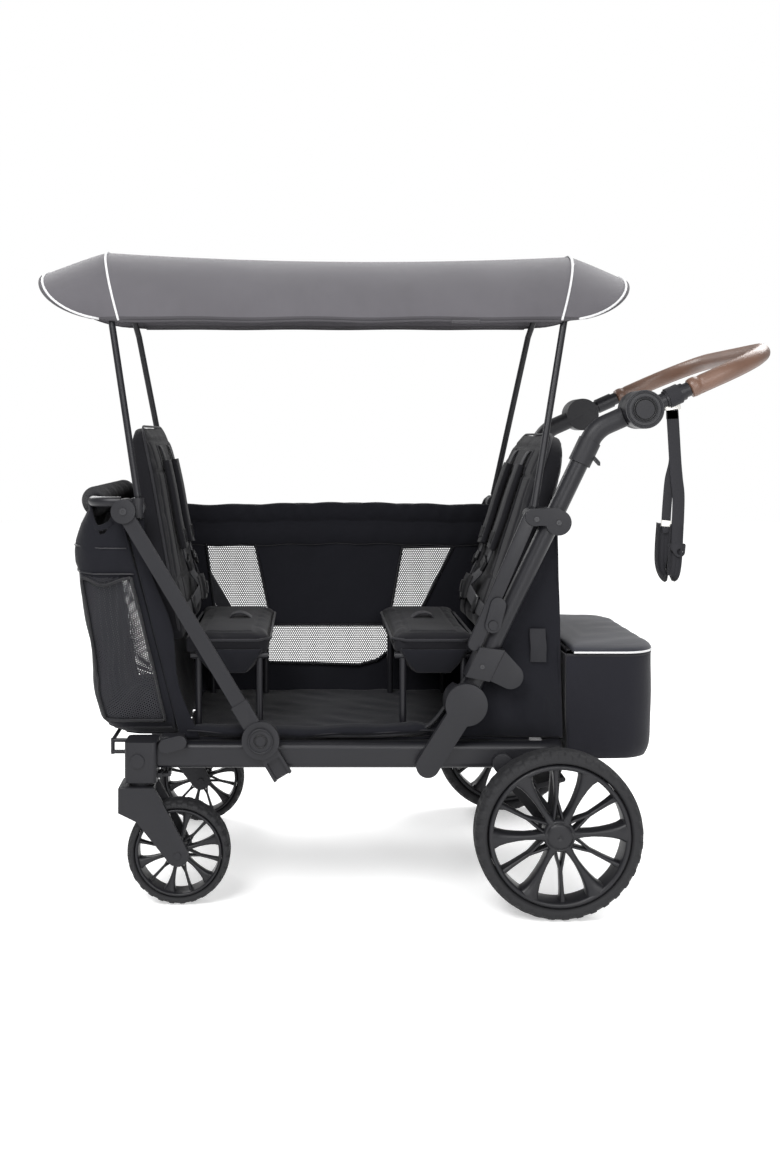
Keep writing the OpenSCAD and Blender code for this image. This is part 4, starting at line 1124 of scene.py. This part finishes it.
out_x, out_y = ring[..., 0] - mid_x, ring[..., 1]
push = np.where(depth_in > 0.02, folds + zip_lift - 3 * MM, 0)
edge_y = np.sign(out_y) * push * (on_side > 0.95) * (depth_in > 0.03)
edge_x = -push * (depth_in > 0.9)
bag_grid = np.stack([mid_x + out_x * tuck + edge_x, out_y * tuck + edge_y, z], -1)
NET_NEAR, NET_FAR, NET_LOW, NET_TOP = 0.14, 0.90, 302 * MM, 553 * MM
face_side = (on_side[:-1] > 0.93) & (depth_in[:-1] > NET_NEAR) & (depth_in[:-1] < NET_FAR)
zf = z[:-1]
is_net = face_side & (zf > NET_LOW) & (zf < NET_TOP)
bag = sheet_mesh("front_bag_shell", bag_grid, "frame", tub_cloth, thick=1.4 * MM, round_v=True)
bag.data.materials.append(net)
bag.data.polygons.foreach_set("material_index", is_net.astype(np.int32).ravel())
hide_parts("front_bag")
bottom = bag_grid[0]
floor_rings = np.stack([
    bottom, bottom.mean(0) + (bottom - bottom.mean(0)) * (0.9, 0.97, 1) - (0, 0, 2 * MM),
    np.broadcast_to(bottom.mean(0) - (0, 0, 2 * MM), bottom.shape)])
bag_floor = sheet_mesh("front_bag_base", floor_rings, "frame", tub_cloth, thick=1.4 * MM, round_v=True)

# %% Bag trims: binding, zip bands, hoop wraps
trims = []
for sign in (-1, 1):
    cols = np.where((on_side[60] > 0.93) & (depth_in[60] > NET_NEAR - 0.02) & (depth_in[60] < NET_FAR + 0.02)
                    & (np.sign(out_y[60]) == sign))[0]
    lo_row, hi_row = (int(np.searchsorted(z[:, cols[0]], level)) for level in (NET_LOW, NET_TOP))
    loop = np.vstack([bag_grid[lo_row:hi_row, cols[0]], bag_grid[hi_row, cols],
                      bag_grid[lo_row:hi_row, cols[-1]][::-1], bag_grid[lo_row, cols[::-1]]])
    trims.append(sweep("bind", even(smooth_path(loop[::3], 200, closed=True) + (0, sign * 1.0 * MM, 0), 200),
                       flat_profile(2.6 * MM, 8 * MM), "frame", strap_web, up=(0, 1, 0), closed=True))
open_cols = np.where(depth_in[60] > 0.05)[0]
for level in BAG_ZIPS:
    rows = [int(np.argmin(np.abs(z[:, c] - level))) for c in open_cols]
    line = bag_grid[rows, open_cols]
    centre = np.array([mid_x.mean(), 0, level])
    away = line - centre
    away[:, 2] = 0
    line = line + away / np.linalg.norm(away, axis=1, keepdims=True) * 1.3 * MM
    line[:, 2] = level - 5 * MM * np.exp(-((np.abs(line[:, 1]) - BAG_Y) / 0.02) ** 2)
    trims.append(sweep("zip", smooth_path(line[::4], 260), flat_profile(3.4 * MM, 2.6 * MM), "frame",
                       zip_teeth))
rim_line = bag_grid[-1][open_cols]
trims.append(sweep("mouth", smooth_path(rim_line[::3], 260), circle(3.4 * MM, 12) * (0.8, 1.6), "frame",
                   tub_cloth))
base_line = bag_grid[3][open_cols] + (0, 0, 1 * MM)
trims.append(sweep("welt", smooth_path(base_line[::4], 240), circle(2.4 * MM, 8), "frame", strap_web))
bag_trims = joined("front_bag_trims", trims)
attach(bag_trims, "frame")
WRAP_R, WRAP_STEPS = 10.8 * MM, 40
wraps = []
for y0 in (-0.150, -0.075, 0.0, 0.075, 0.150):
    q = np.linspace(0, 2 * np.pi, WRAP_STEPS, endpoint=False)
    loop = np.column_stack([HOOP[0] + WRAP_R * np.cos(q), np.full(WRAP_STEPS, y0),
                            HOOP[2] + WRAP_R * np.sin(q)])
    loop[:, 2] -= np.where(np.sin(q) < -0.3, 5 * MM * -(np.sin(q) + 0.3), 0)
    wraps.append(sweep("wrap", loop, flat_profile(2.4 * MM, 30 * MM), "frame", strap_web, up=(0, 1, 0),
                       closed=True))
hoop_wraps = joined("front_bag_hoop_loops", wraps)
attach(hoop_wraps, "frame")

# %% [markdown]
# ## Rear basket and lid
# The basket's plan is a rectangle with two round corners. Its wall is a grid of (height, way round)
# that tucks in at the bottom and bulges a little in the middle. The lid is a padded board: scaled
# copies of the same outline climb to a crown, with light piping round the edge.

# %% Rear basket
BX0, BX1 = low("rear_basket")[0], high("rear_basket")[0]
BASKET_Y = high("rear_basket")[1]
BZ0, BZ1 = low("rear_basket")[2], high("rear_basket")[2]


def basket_outline(n=160, corner=58 * MM):
    """Points round the basket's plan, from the near front corner by the rear and back."""
    q = np.linspace(0, np.pi / 2, 20)
    near = np.column_stack([np.linspace(BX0, BX1 - corner, 30), np.full(30, -BASKET_Y)])
    turn = np.column_stack([BX1 - corner + corner * np.sin(q), -BASKET_Y + corner - corner * np.cos(q)])
    half = np.vstack([near, turn])
    path = np.vstack([half, half[::-1] * (1, -1)])
    path = np.column_stack([path, np.zeros(len(path))])
    return even(path, n)[:, :2]


plan = basket_outline()
centre_xy = np.array([(BX0 + BX1) / 2, 0])
k = np.linspace(0, 1, 60)[:, None]
tuck = 1 - 0.085 * np.exp(-(k / 0.07) ** 1.2) - 0.03 * (1 - k)
belly = 1 + 0.012 * np.sin(np.pi * k)
away = plan[None] - centre_xy
scale_xy = tuck * belly
scale_x = np.where(away[..., 0] < 0, 1 - (1 - scale_xy) * 0.15, scale_xy)
xy = centre_xy + away * np.stack([scale_x, scale_xy ** 0.5 + 0 * scale_x], -1)
z = BZ0 + (BZ1 - 2 * MM - BZ0) * k * np.ones((1, len(plan)))
fold = wrinkles(plan[None, :, 0] + plan[None, :, 1], z, 2.6 * MM, 41)
unit = away / np.linalg.norm(away, axis=-1, keepdims=True)
basket_grid = np.concatenate([xy + unit * (fold - 1.5 * MM)[..., None], z[..., None]], -1)
basket_grid[..., 0] = np.maximum(basket_grid[..., 0], BX0)
basket = sheet_mesh("rear_basket_wall", basket_grid, "frame", basket_cloth, thick=2 * MM)
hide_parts("rear_basket")
low_ring = basket_grid[0]
mid_low = np.array([(BX0 + BX1) / 2, 0, BZ0])
base = np.stack([
    low_ring, mid_low + (low_ring - mid_low) * (0.86, 0.93, 1),
    mid_low + (low_ring - mid_low) * (0.02, 0.02, 1)])
base[..., 2] = BZ0 + np.array([0, 0.2, 0.6])[:, None] * MM
basket_base = sheet_mesh("rear_basket_base", base, "frame", basket_cloth, thick=2 * MM)
inner = np.column_stack([np.full(60, BX0 + 1.5 * MM), np.linspace(-BASKET_Y, BASKET_Y, 60), np.zeros(60)])
front_face = np.stack([inner + (0, 0, BZ0), inner + (0, 0, (BZ0 + BZ1) / 2), inner + (0, 0, BZ1 - 2 * MM)])
basket_front = sheet_mesh("rear_basket_front", front_face, "frame", basket_cloth, thick=2 * MM)
seams = []
for at in (0.10, 0.90):
    column = basket_grid[:, int(at * 159)]
    seams.append(sweep("seam", column + (0, np.sign(column[0, 1]) * 0.6 * MM, 0), circle(1.4 * MM, 8),
                       "frame", strap_web, up=(1, 0, 0)))
seams.append(sweep("rim", smooth_path(basket_grid[-1][::4], 200), circle(2.6 * MM, 10), "frame", strap_web))
basket_seams = joined("rear_basket_seams", seams)
for piece in (basket_base, basket_front, basket_seams):
    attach(piece, "frame")

# %% Padded lid
LID_LOW = low("basket_lid")[2]
LID_X0 = low("basket_lid")[0]
lid_plan = basket_outline(200)
lid_plan = np.column_stack([np.maximum(lid_plan[:, 0], LID_X0 + 1 * MM), lid_plan[:, 1] * 1.005])
lid_mid = np.array([(LID_X0 + BX1) / 2, 0])
LID_ROWS = [(0.05, 0.8), (0.90, 0.8), (0.975, 0.9), (1.004, 2.4), (1.012, 5.5), (1.006, 8.6),
            (0.985, 11.2), (0.94, 13.4), (0.86, 15.2), (0.74, 16.4), (0.55, 17.4), (0.30, 18.0),
            (0.05, 18.2)]
LID_STEPS = 40
rings = []
for size_now, up_now in resample(LID_ROWS, LID_STEPS):
    flat = lid_mid + (lid_plan - lid_mid) * size_now
    rings.append(np.column_stack([flat, np.full(len(flat), LID_LOW + up_now * MM)]))
lid_grid = np.stack(rings)
lid_grid[..., 2] += wrinkles(lid_grid[..., 0], lid_grid[..., 1], 1.4 * MM, 43) * (
    lid_grid[..., 2] > LID_LOW + 9 * MM)
faces = grid_faces(LID_STEPS, len(lid_plan), round_v=True).tolist()
last = LID_STEPS * len(lid_plan) - 1
faces += [list(range(len(lid_plan))), list(range(last, last - len(lid_plan), -1))]
lid = outward(add_mesh("rear_lid_pad", lid_grid, faces, "lid", lid_cloth))
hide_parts("basket_lid")
edge = lid_mid + (lid_plan - lid_mid) * 1.012
edge = np.column_stack([edge, np.full(len(edge), LID_LOW + 3.2 * MM)])
lid_piping = sweep("rear_lid_piping", smooth_path(edge[::5], 260), circle(1.9 * MM, 10), "lid", piping_cloth)
hinge_strip = sweep(
    "rear_lid_hinge", np.array([(LID_X0, y, LID_LOW + 1 * MM) for y in np.linspace(-0.17, 0.17, 30)]),
    flat_profile(3 * MM, 14 * MM), "lid", basket_cloth, up=(1, 0, 0))
print("bag, basket and lid done")

# %% [markdown]
# ## Seats
# Each pad starts from its solid, remeshed into even squares and drawn in a little, and is blown up
# as cloth: pressure pushes every face out while the cloth's own stiffness holds the edges, so the
# sides pull in between the corners. A cap limits how far a point may go. Sewn channels come after
# the simulation, pressed in along lines given in the pad's own directions.

# %% Pads blown up by cloth simulation
VOXEL = 6 * MM
PRESSURE = 5.0
DRAWN_IN = -0.15
PAD_CAP = 7 * MM
SIM_FRAMES = 20


def mesh_points(mesh):
    """All vertices of a mesh as one array."""
    P = np.empty(len(mesh.vertices) * 3)
    mesh.vertices.foreach_get("co", P)
    return P.reshape(-1, 3)


def puffed(node, cap, stiff=12.0):
    """A pad grown from its solid: remeshed, drawn in, swelled as cloth and capped."""
    pad = bpy.data.objects.new(node + "_pad", nodes[node].data.copy())
    bpy.context.scene.collection.objects.link(pad)
    work = bmesh.new()
    work.from_mesh(pad.data)
    bmesh.ops.remove_doubles(work, verts=work.verts, dist=0.01 * MM)
    work.to_mesh(pad.data)
    work.free()
    remesh = pad.modifiers.new("even", "REMESH")
    remesh.mode, remesh.voxel_size = "VOXEL", VOXEL
    shrink = pad.modifiers.new("drawn in", "DISPLACE")
    shrink.mid_level, shrink.strength = 0.0, DRAWN_IN * cap
    apply_modifiers(pad)
    start = mesh_points(pad.data)
    cloth = pad.modifiers.new("cloth", "CLOTH")
    cloth.settings.quality, cloth.settings.mass = 5, 0.3
    cloth.settings.tension_stiffness = cloth.settings.compression_stiffness = stiff
    cloth.settings.use_pressure, cloth.settings.uniform_pressure_force = True, PRESSURE
    cloth.settings.effector_weights.gravity = 0.0
    for frame in range(1, SIM_FRAMES + 1):
        bpy.context.scene.frame_set(frame)
    swelled = pad.evaluated_get(bpy.context.evaluated_depsgraph_get())
    step = mesh_points(swelled.data) - start
    length = np.linalg.norm(step, axis=1, keepdims=True)
    start = start + step * np.minimum(1, cap / np.maximum(length, 1e-9))
    pad.modifiers.clear()
    bpy.context.scene.frame_set(1)
    pad.data.vertices.foreach_set("co", start.ravel())
    print(node, "moved at most", round(float(min(length.max(), cap)) * 1000, 1), "mm")
    smooth = pad.modifiers.new("smooth", "SUBSURF")
    smooth.levels = smooth.render_levels = 1
    apply_modifiers(pad)
    pad.data.materials.clear()
    pad.data.materials.append(pad_cloth)
    pad.data.shade_smooth()
    return pad


def groove(distance, depth, width=4 * MM):
    """A pressed line: a bell of the distance from it."""
    return depth * np.exp(-(distance / width) ** 2)


def dress_pad(pad, node, body, face, press, shape=None):
    """Presses sewn lines into the side of a pad that faces one way, and puts it in place."""
    P = mesh_points(pad.data)
    if shape:
        P = shape(P)
        pad.data.vertices.foreach_set("co", P.ravel())
        pad.data.update()
    N = np.empty(len(P) * 3)
    pad.data.vertices.foreach_get("normal", N)
    N = N.reshape(-1, 3)
    facing = np.clip((N @ face - 0.2) / 0.5, 0, 1)
    P = P - face * (press(P) * facing)[:, None] + N * wrinkles(
        P[:, 0] + P[:, 2], P[:, 1], 1.1 * MM, 55)[:, None]
    pad.data.vertices.foreach_set("co", P.ravel())
    pad.data.update()
    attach(pad, body)
    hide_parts(node)
    return pad


UP = np.array([0.0, 0.0, 1.0])
PAN_TOP = high("seat_pan_front")[2]
for node, body in (("seat_pan_front", "front_seat"), ("seat_pan_rear", "rear_seat")):
    mid, half = middle(node), (high(node) - low(node)) / 2

    def pan_lines(P, mid=mid, half=half):
        """A line round the seat 30 mm in from its edge."""
        inset = np.maximum(np.abs(P[:, 0] - mid[0]) - half[0], np.abs(P[:, 1] - mid[1]) - half[1]) + 30 * MM
        return groove(inset, 2.6 * MM)

    dress_pad(puffed(node, PAD_CAP), node, body, UP, pan_lines)

# %% Backs
BACK_LENGTH = 395 * MM
PIPING_R = 2.2 * MM
BACK_HALF = high("seat_back_front")[1]
FEET = {"front": np.array([-380, 0, 437.5]) * MM, "rear": np.array([146, 0, 437.5]) * MM}
LEANS = {"front": np.radians(10), "rear": np.radians(17.5)}
TURNS = {"front": 1.0, "rear": -1.0}


def on_back(end, y, v, h):
    """A point on a backrest: y across, v up along it, h out of its face."""
    lean, turn = LEANS[end], TURNS[end]
    y, v, h = np.broadcast_arrays(*(np.asarray(a, float) for a in (y, v, h)))
    x = FEET[end][0] + turn * (h * np.cos(lean) - v * np.sin(lean))
    return np.stack([x, y, FEET[end][2] + v * np.cos(lean) + h * np.sin(lean)], -1)


def back_normal(end):
    """Straight out of a backrest's face."""
    return np.array([TURNS[end] * np.cos(LEANS[end]), 0, np.sin(LEANS[end])])


def back_rim(inset=0.0, n=240):
    """The outline of a backrest, round at the top, as (y, v)."""
    half, top, r = BACK_HALF - inset, BACK_LENGTH - inset, 66 * MM
    q = np.linspace(0, np.pi / 2, 16)
    right = [(half, 25 * MM)] + [(half - r + r * np.cos(a), top - r + r * np.sin(a)) for a in q]
    left = [(-y, v) for y, v in right[::-1]]
    ring = np.array(right + left + [(-half + 16 * MM, 6 * MM + inset), (half - 16 * MM, 6 * MM + inset)])
    return even(np.column_stack([np.vstack([ring, ring[:1]]), np.zeros(len(ring) + 1)]), n)[:-1, :2]


DOME = 105 * MM


def domed(v):
    """How much of a backrest's thickness is left at a height: full, then rounding off at the top."""
    return np.sqrt(np.clip(1 - ((v - BACK_LENGTH + DOME) / (DOME + 7 * MM)).clip(0) ** 2, 0.03, 1))


THICKNESS = {"front": 38 * MM, "rear": 42 * MM}
PIPING_OUT = 14 * MM
for end, node in (("front", "seat_back_front"), ("rear", "seat_back_rear")):
    def taper(P, end=end):
        """Rounds the top of the pad off towards the middle of its thickness."""
        up_way = np.array([-TURNS[end] * np.sin(LEANS[end]), 0, np.cos(LEANS[end])])
        v, h = (P - FEET[end]) @ up_way, (P - FEET[end]) @ back_normal(end) + THICKNESS[end] / 2
        return P + ((domed(v) - 1) * h)[:, None] * back_normal(end)

    def back_lines(P, end=end):
        """Two upright channels, one across, and a line round the face."""
        v = (P - FEET[end]) @ np.array([-TURNS[end] * np.sin(LEANS[end]), 0, np.cos(LEANS[end])])
        y = np.abs(P[:, 1])
        rim = np.maximum(y - BACK_HALF, v - BACK_LENGTH) + 32 * MM
        upright = groove(y - 96 * MM, 3.6 * MM) * (v < BACK_LENGTH - 40 * MM)
        return np.maximum.reduce([
            upright, groove(v - 110 * MM, 3.0 * MM), groove(v - 305 * MM, 3.0 * MM), groove(rim, 2.4 * MM)])

    dress_pad(puffed(node, PAD_CAP), node, "frame", back_normal(end), back_lines, taper)
    rim = back_rim(inset=5.0 * MM)
    middle_h = -THICKNESS[end] / 2
    line = on_back(end, rim[:, 0], rim[:, 1], middle_h + PIPING_OUT * domed(rim[:, 1]))
    piping = sweep("seat_back_%s_piping" % end, smooth_path(line, 300, closed=True), circle(PIPING_R, 8),
                   "frame", strap_web, up=back_normal(end), closed=True)
for node, body in (("seat_pan_front", "front_seat"), ("seat_pan_rear", "rear_seat")):
    a, b = low(node) + 1 * MM, high(node) - 1 * MM
    r = 24 * MM
    ring = np.array([(a[0] + r, a[1]), (b[0] - r, a[1]), (b[0], a[1] + r), (b[0], b[1] - r), (b[0] - r, b[1]),
                     (a[0] + r, b[1]), (a[0], b[1] - r), (a[0], a[1] + r), (a[0] + r, a[1])])
    line = even(np.column_stack([ring, np.zeros(9)]), 60)[:-1]
    line[:, 2] = high(node)[2] - 7 * MM
    piping = sweep(node + "_piping", smooth_path(line, 260, closed=True), circle(PIPING_R, 8), body,
                   strap_web, closed=True)

# %% Pocket under each seat, a dark skirt that is partly painted shade
SKIRT_DROP, SKIRT_STEPS = 44 * MM, 120
for node, body in (("seat_pan_front", "front_seat"), ("seat_pan_rear", "rear_seat")):
    mid, half = middle(node), (high(node) - low(node)) / 2
    a = np.linspace(0, 2 * np.pi, SKIRT_STEPS, endpoint=False)
    square = 1 / np.maximum(np.abs(np.cos(a)), np.abs(np.sin(a)))
    plan = np.column_stack([np.cos(a), np.sin(a)]) * np.minimum(square, 1.28)[:, None]
    rings = []
    for down in np.linspace(0, 1, 14):
        inset = np.array([half[0] - 4 * MM - 34 * MM * down**1.3, half[1] - 4 * MM - 16 * MM * down**1.5])
        rings.append(np.column_stack([
            mid[:2] + plan * inset, np.full(SKIRT_STEPS, low(node)[2] + 6 * MM - SKIRT_DROP * down)]))
    rings.append(np.column_stack([
        mid[:2] + plan * inset * 0.02, np.full(SKIRT_STEPS, low(node)[2] + 4 * MM - SKIRT_DROP)]))
    # A dark cloth skirt hung under the pan. It is partly a real pocket and partly a dark sheet that stands in
    # for the shade under the seat, hiding the lighter seat legs.
    pocket_shade_skirt = sheet_mesh(node + "_pocket", np.stack(rings), body, tub_cloth, thick=1.4 * MM, round_v=True)

# %% [markdown]
# ## Harnesses
# Every strap is a flat profile swept along a curve written in the backrest's own coordinates, so
# it lies on the pad at the top, passes its shoulder pad and meets its partner at the buckle.

# %% Harness straps, pads and buckles
def strap(end, points, profile, material=None):
    """One strap over a backrest; points are (across, up, out) in millimetres."""
    points = np.asarray(points, float) * MM
    line = on_back(end, points[:, 0], points[:, 1], points[:, 2])
    return sweep("strap", smooth_path(line, 70), profile, "frame", material or strap_web, up=back_normal(end))


HARNESS_WEB, CROTCH_WEB = 25 * MM, 30 * MM
hard_parts, straps, shoulder_pads = [], [], []
for end in ("front", "rear"):
    for side in (-1, 1):
        straps.append(strap(end, [
            (side * 66, 352, -4), (side * 66, 346, 6), (side * 66, 300, 11), (side * 64, 200, 12),
            (side * 58, 130, 15), (side * 34, 100, 22), (side * 16, 88, 26)],
            flat_profile(HARNESS_WEB, 2.4 * MM)))
        pad_line = [(side * 66, 322, 12), (side * 66, 270, 14), (side * 65, 210, 14), (side * 61, 158, 16)]
        shoulder_pads.append(strap(end, pad_line, flat_profile(48 * MM, 12 * MM), pad_cloth))
        straps.append(strap(end, [
            (side * 178, 44, -6), (side * 160, 46, 4), (side * 100, 52, 14), (side * 50, 62, 22),
            (side * 22, 68, 26)], flat_profile(HARNESS_WEB, 2.4 * MM)))
        hard_parts.append(strap(end, [(side * 58, 136, 18), (side * 55, 128, 19), (side * 51, 120, 20)],
                                flat_profile(36 * MM, 8 * MM), dark_cast))
        hard_parts.append(strap(end, [(side * 64, 190, 21), (side * 64, 178, 21), (side * 63, 168, 21)],
                                flat_profile(30 * MM, 5 * MM), dark_cast))
        hard_parts.append(strap(end, [(side * 100, 52, 17), (side * 92, 53, 18), (side * 84, 55, 19)],
                                flat_profile(34 * MM, 6 * MM), dark_cast))
    hard_parts.append(strap(end, [(0, 52, 26), (0, 62, 28), (0, 84, 28), (0, 96, 27)],
                            flat_profile(46 * MM, 15 * MM), dark_cast))
    hard_parts.append(strap(end, [(0, 60, 34), (0, 72, 36), (0, 82, 36)],
                            flat_profile(24 * MM, 8 * MM), dark_cast))
harness_straps = joined("harness_straps", straps)
harness_hard = joined("harness_buckles", hard_parts)
harness_pads = joined("harness_shoulder_pads", shoulder_pads)
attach(harness_pads, "frame")
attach(harness_straps, "frame")
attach(harness_hard, "frame")
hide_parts("harness")


for end, node, body in (("front", "seat_pan_front", "front_seat"), ("rear", "seat_pan_rear", "rear_seat")):
    turn, top = TURNS[end], PAN_TOP + 4 * MM
    foot_x = FEET[end][0]
    line = np.array([(foot_x + turn * a * MM, 4 * MM, top + b * MM) for a, b in
                     ((112, -3), (108, 3), (98, 9), (86, 11), (75, 8), (70, 2))])
    crotch = sweep("harness_crotch_" + end, smooth_path(line, 60), flat_profile(CROTCH_WEB, 3 * MM), body,
                   strap_web)

# %% [markdown]
# ## Wrist strap and leather grip
# The wrist strap is a band that hangs from the handle to its plate. A second strand leaves it part
# way down, and a narrow loop closes its end. The grip is a leather sleeve swept round the bow, with
# a raised edge at both ends and a row of stitches along the underside.

# %% Wrist strap
STRAP_Y = middle("wrist_strap")[1]
PLATE = middle("strap_plate")
PLATE_TOP = high("strap_plate")[2]
STRAP_TOP = high("wrist_strap")[2]


def band_piece(points, width, dy=0.0, thick=2.2 * MM, material=None):
    """A strand of the strap from (x, z) places in millimetres, its width seen from the side."""
    points = np.asarray(points, float) * MM
    line = np.column_stack([points[:, 0], np.full(len(points), STRAP_Y + dy), points[:, 1]])
    return sweep("band", smooth_path(line, 90), flat_profile(width, thick), "strap", material or strap_web,
                 up=(0, 1, 0))


px, pz = PLATE[0] / MM, PLATE_TOP / MM
strands = [
    band_piece([(460.5, STRAP_TOP / MM - 9), (460.2, 846), (463, 800), (465.5, 757), (468, 728),
                (471, 693), (px, pz - 4)], 21 * MM, dy=-1.4 * MM),
    band_piece([(463, 802), (463.5, 760), (456.5, 727), (453, 690), (451, 655), (453, 636)], 16 * MM,
               dy=2.6 * MM)]
loop_path = smooth_path(np.array([
    (448, 5, 652), (446, 8, 612), (447, 12, 584), (451, 12, 569), (457, 9, 563), (462, 5, 568),
    (465, 3, 590), (466, 3, 620), (467, 4, 648)]) * MM + (0, STRAP_Y, 0), 90)
strands.append(sweep("loop", loop_path, flat_profile(2.2 * MM, 21 * MM), "strap", strap_web, up=(1, 0, 0)))
wrist = joined("wrist_strap_webbing", strands)
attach(wrist, "strap")
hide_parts("wrist_strap")
hardware = [
    band_piece([(460.6, 856), (461.0, 851), (461.4, 846)], 28 * MM, thick=5 * MM, material=slider_steel),
    band_piece([(452.4, 657), (452.0, 652), (451.6, 647)], 20 * MM, dy=2.6 * MM, thick=6 * MM,
               material=slider_steel)]
slides = joined("wrist_strap_sliders", hardware)
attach(slides, "strap")

# %% Leather grip
GRIP_R = 15 * MM
SLOPE = np.radians(24)
ARM_Y = 248 * MM
BOW_R = 120 * MM
PIVOT = handle_at
bow_end = (high("handle_grip")[0] - GRIP_R * 0.9 - PIVOT[0]) / np.cos(SLOPE)
q = np.linspace(0, np.pi / 2, 30)
arm = np.column_stack([np.linspace(88 * MM, bow_end - BOW_R, 50)[:-1], np.full(49, -ARM_Y)])
bend = np.column_stack([bow_end - BOW_R + BOW_R * np.sin(q), -ARM_Y + BOW_R * (1 - np.cos(q))])
half_bow = np.vstack([arm, bend])
bow = np.vstack([half_bow, half_bow[::-1] * (1, -1)])
GRIP_STEPS = 420
bow = even(np.column_stack([bow, np.zeros(len(bow))]), GRIP_STEPS)
grip_path = np.column_stack([PIVOT[0] + bow[:, 0] * np.cos(SLOPE), bow[:, 1],
                             PIVOT[2] + bow[:, 0] * np.sin(SLOPE)])
step_count = np.minimum(np.arange(GRIP_STEPS), np.arange(GRIP_STEPS)[::-1])
from_end = step_count * arc_lengths(grip_path, 0)[-1] / (GRIP_STEPS - 1)
collar = (1 + 0.09 * np.exp(-((from_end - 8 * MM) / (6 * MM)) ** 4)
          - 0.05 * np.exp(-((from_end - 19 * MM) / (3 * MM)) ** 2))
grip_up = (-np.sin(SLOPE), 0, np.cos(SLOPE))
grip = sweep("handle_leather", grip_path, circle(GRIP_R + 0.4 * MM, 28), "handle", grip_leather,
             up=grip_up, scale=collar)
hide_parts("handle_grip")
seam = sweep("handle_seam", grip_path + np.array(grip_up) * -(GRIP_R + 0.2 * MM), circle(1.1 * MM, 8),
             "handle", grip_leather, up=grip_up)
stitch_parts = []
for k in range(10, GRIP_STEPS - 10, 4):
    line = grip_path[k:k + 3] + np.array(grip_up) * -(GRIP_R - 0.4 * MM)
    stitch_parts.append(sweep("stitch", line, circle(0.8 * MM, 6), "handle", thread, up=grip_up))
stitches = joined("handle_stitches", stitch_parts)
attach(stitches, "handle")
print("seats, straps and grip done")

# %% [markdown]
# ## Small parts
# Rings and a short strap, too small for the frame itself. Each ring is a circle swept round a
# circle, and the strap lies on the near corner of the tub.

# %% Rings and the corner strap
def ring_at(centre, radius, thick, body, material):
    """A thin ring that faces sideways."""
    q = np.linspace(0, 2 * np.pi, 72, endpoint=False)
    line = np.asarray(centre) + radius * np.column_stack([np.cos(q), 0 * q, np.sin(q)])
    return sweep("ring", line, circle(thick, 8), body, material, up=(0, 1, 0), closed=True)


HUB_FACE = ARM_Y + 15 * MM
hub_parts = []
for side in (-1, 1):
    centre = np.array([PIVOT[0], side * HUB_FACE, PIVOT[2]])
    hub_parts += [ring_at(centre, 29 * MM, 1.8 * MM, "handle", cast),
                  ring_at(centre, 18.2 * MM, 1.7 * MM, "handle", dark_cast),
                  ring_at(centre, 21.5 * MM, 1.2 * MM, "handle", cast)]
    inner = np.array([PIVOT[0], side * (ARM_Y - 15.4 * MM), PIVOT[2]])
    hub_parts += [ring_at(inner, 26 * MM, 1.8 * MM, "handle", cast),
                  ring_at(inner, 15 * MM, 2.0 * MM, "handle", dark_cast),
                  ring_at(inner, 5 * MM, 1.8 * MM, "handle", steel)]
hub_rings = joined("handle_hub_rings", hub_parts)
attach(hub_rings, "handle")

STRUT_FOOT = np.array([-243, 283]) * MM
KNOB_FACE = -low("strut_left")[1]
knobs = []
for side in (-1, 1):
    face = side * KNOB_FACE
    knobs += [ring_at((STRUT_FOOT[0], face, STRUT_FOOT[1]), 20 * MM, 1.8 * MM, "frame", cast),
              ring_at((STRUT_FOOT[0], face, STRUT_FOOT[1]), 10.5 * MM, 1.6 * MM, "frame", dark_cast)]
knob_rings = joined("strut_knob_rings", knobs)
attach(knob_rings, "frame")
CORNER_WEB = 28 * MM
corner_line = np.array([(238, -205, 466), (238, -208, 450), (239, -209, 436), (239, -208, 422),
                        (239, -206, 408)]) * MM
corner_strap = sweep("tub_corner_strap", smooth_path(corner_line, 50), flat_profile(CORNER_WEB, 2.4 * MM),
                     "frame", strap_web, up=(0, 1, 0))
print("small parts done")
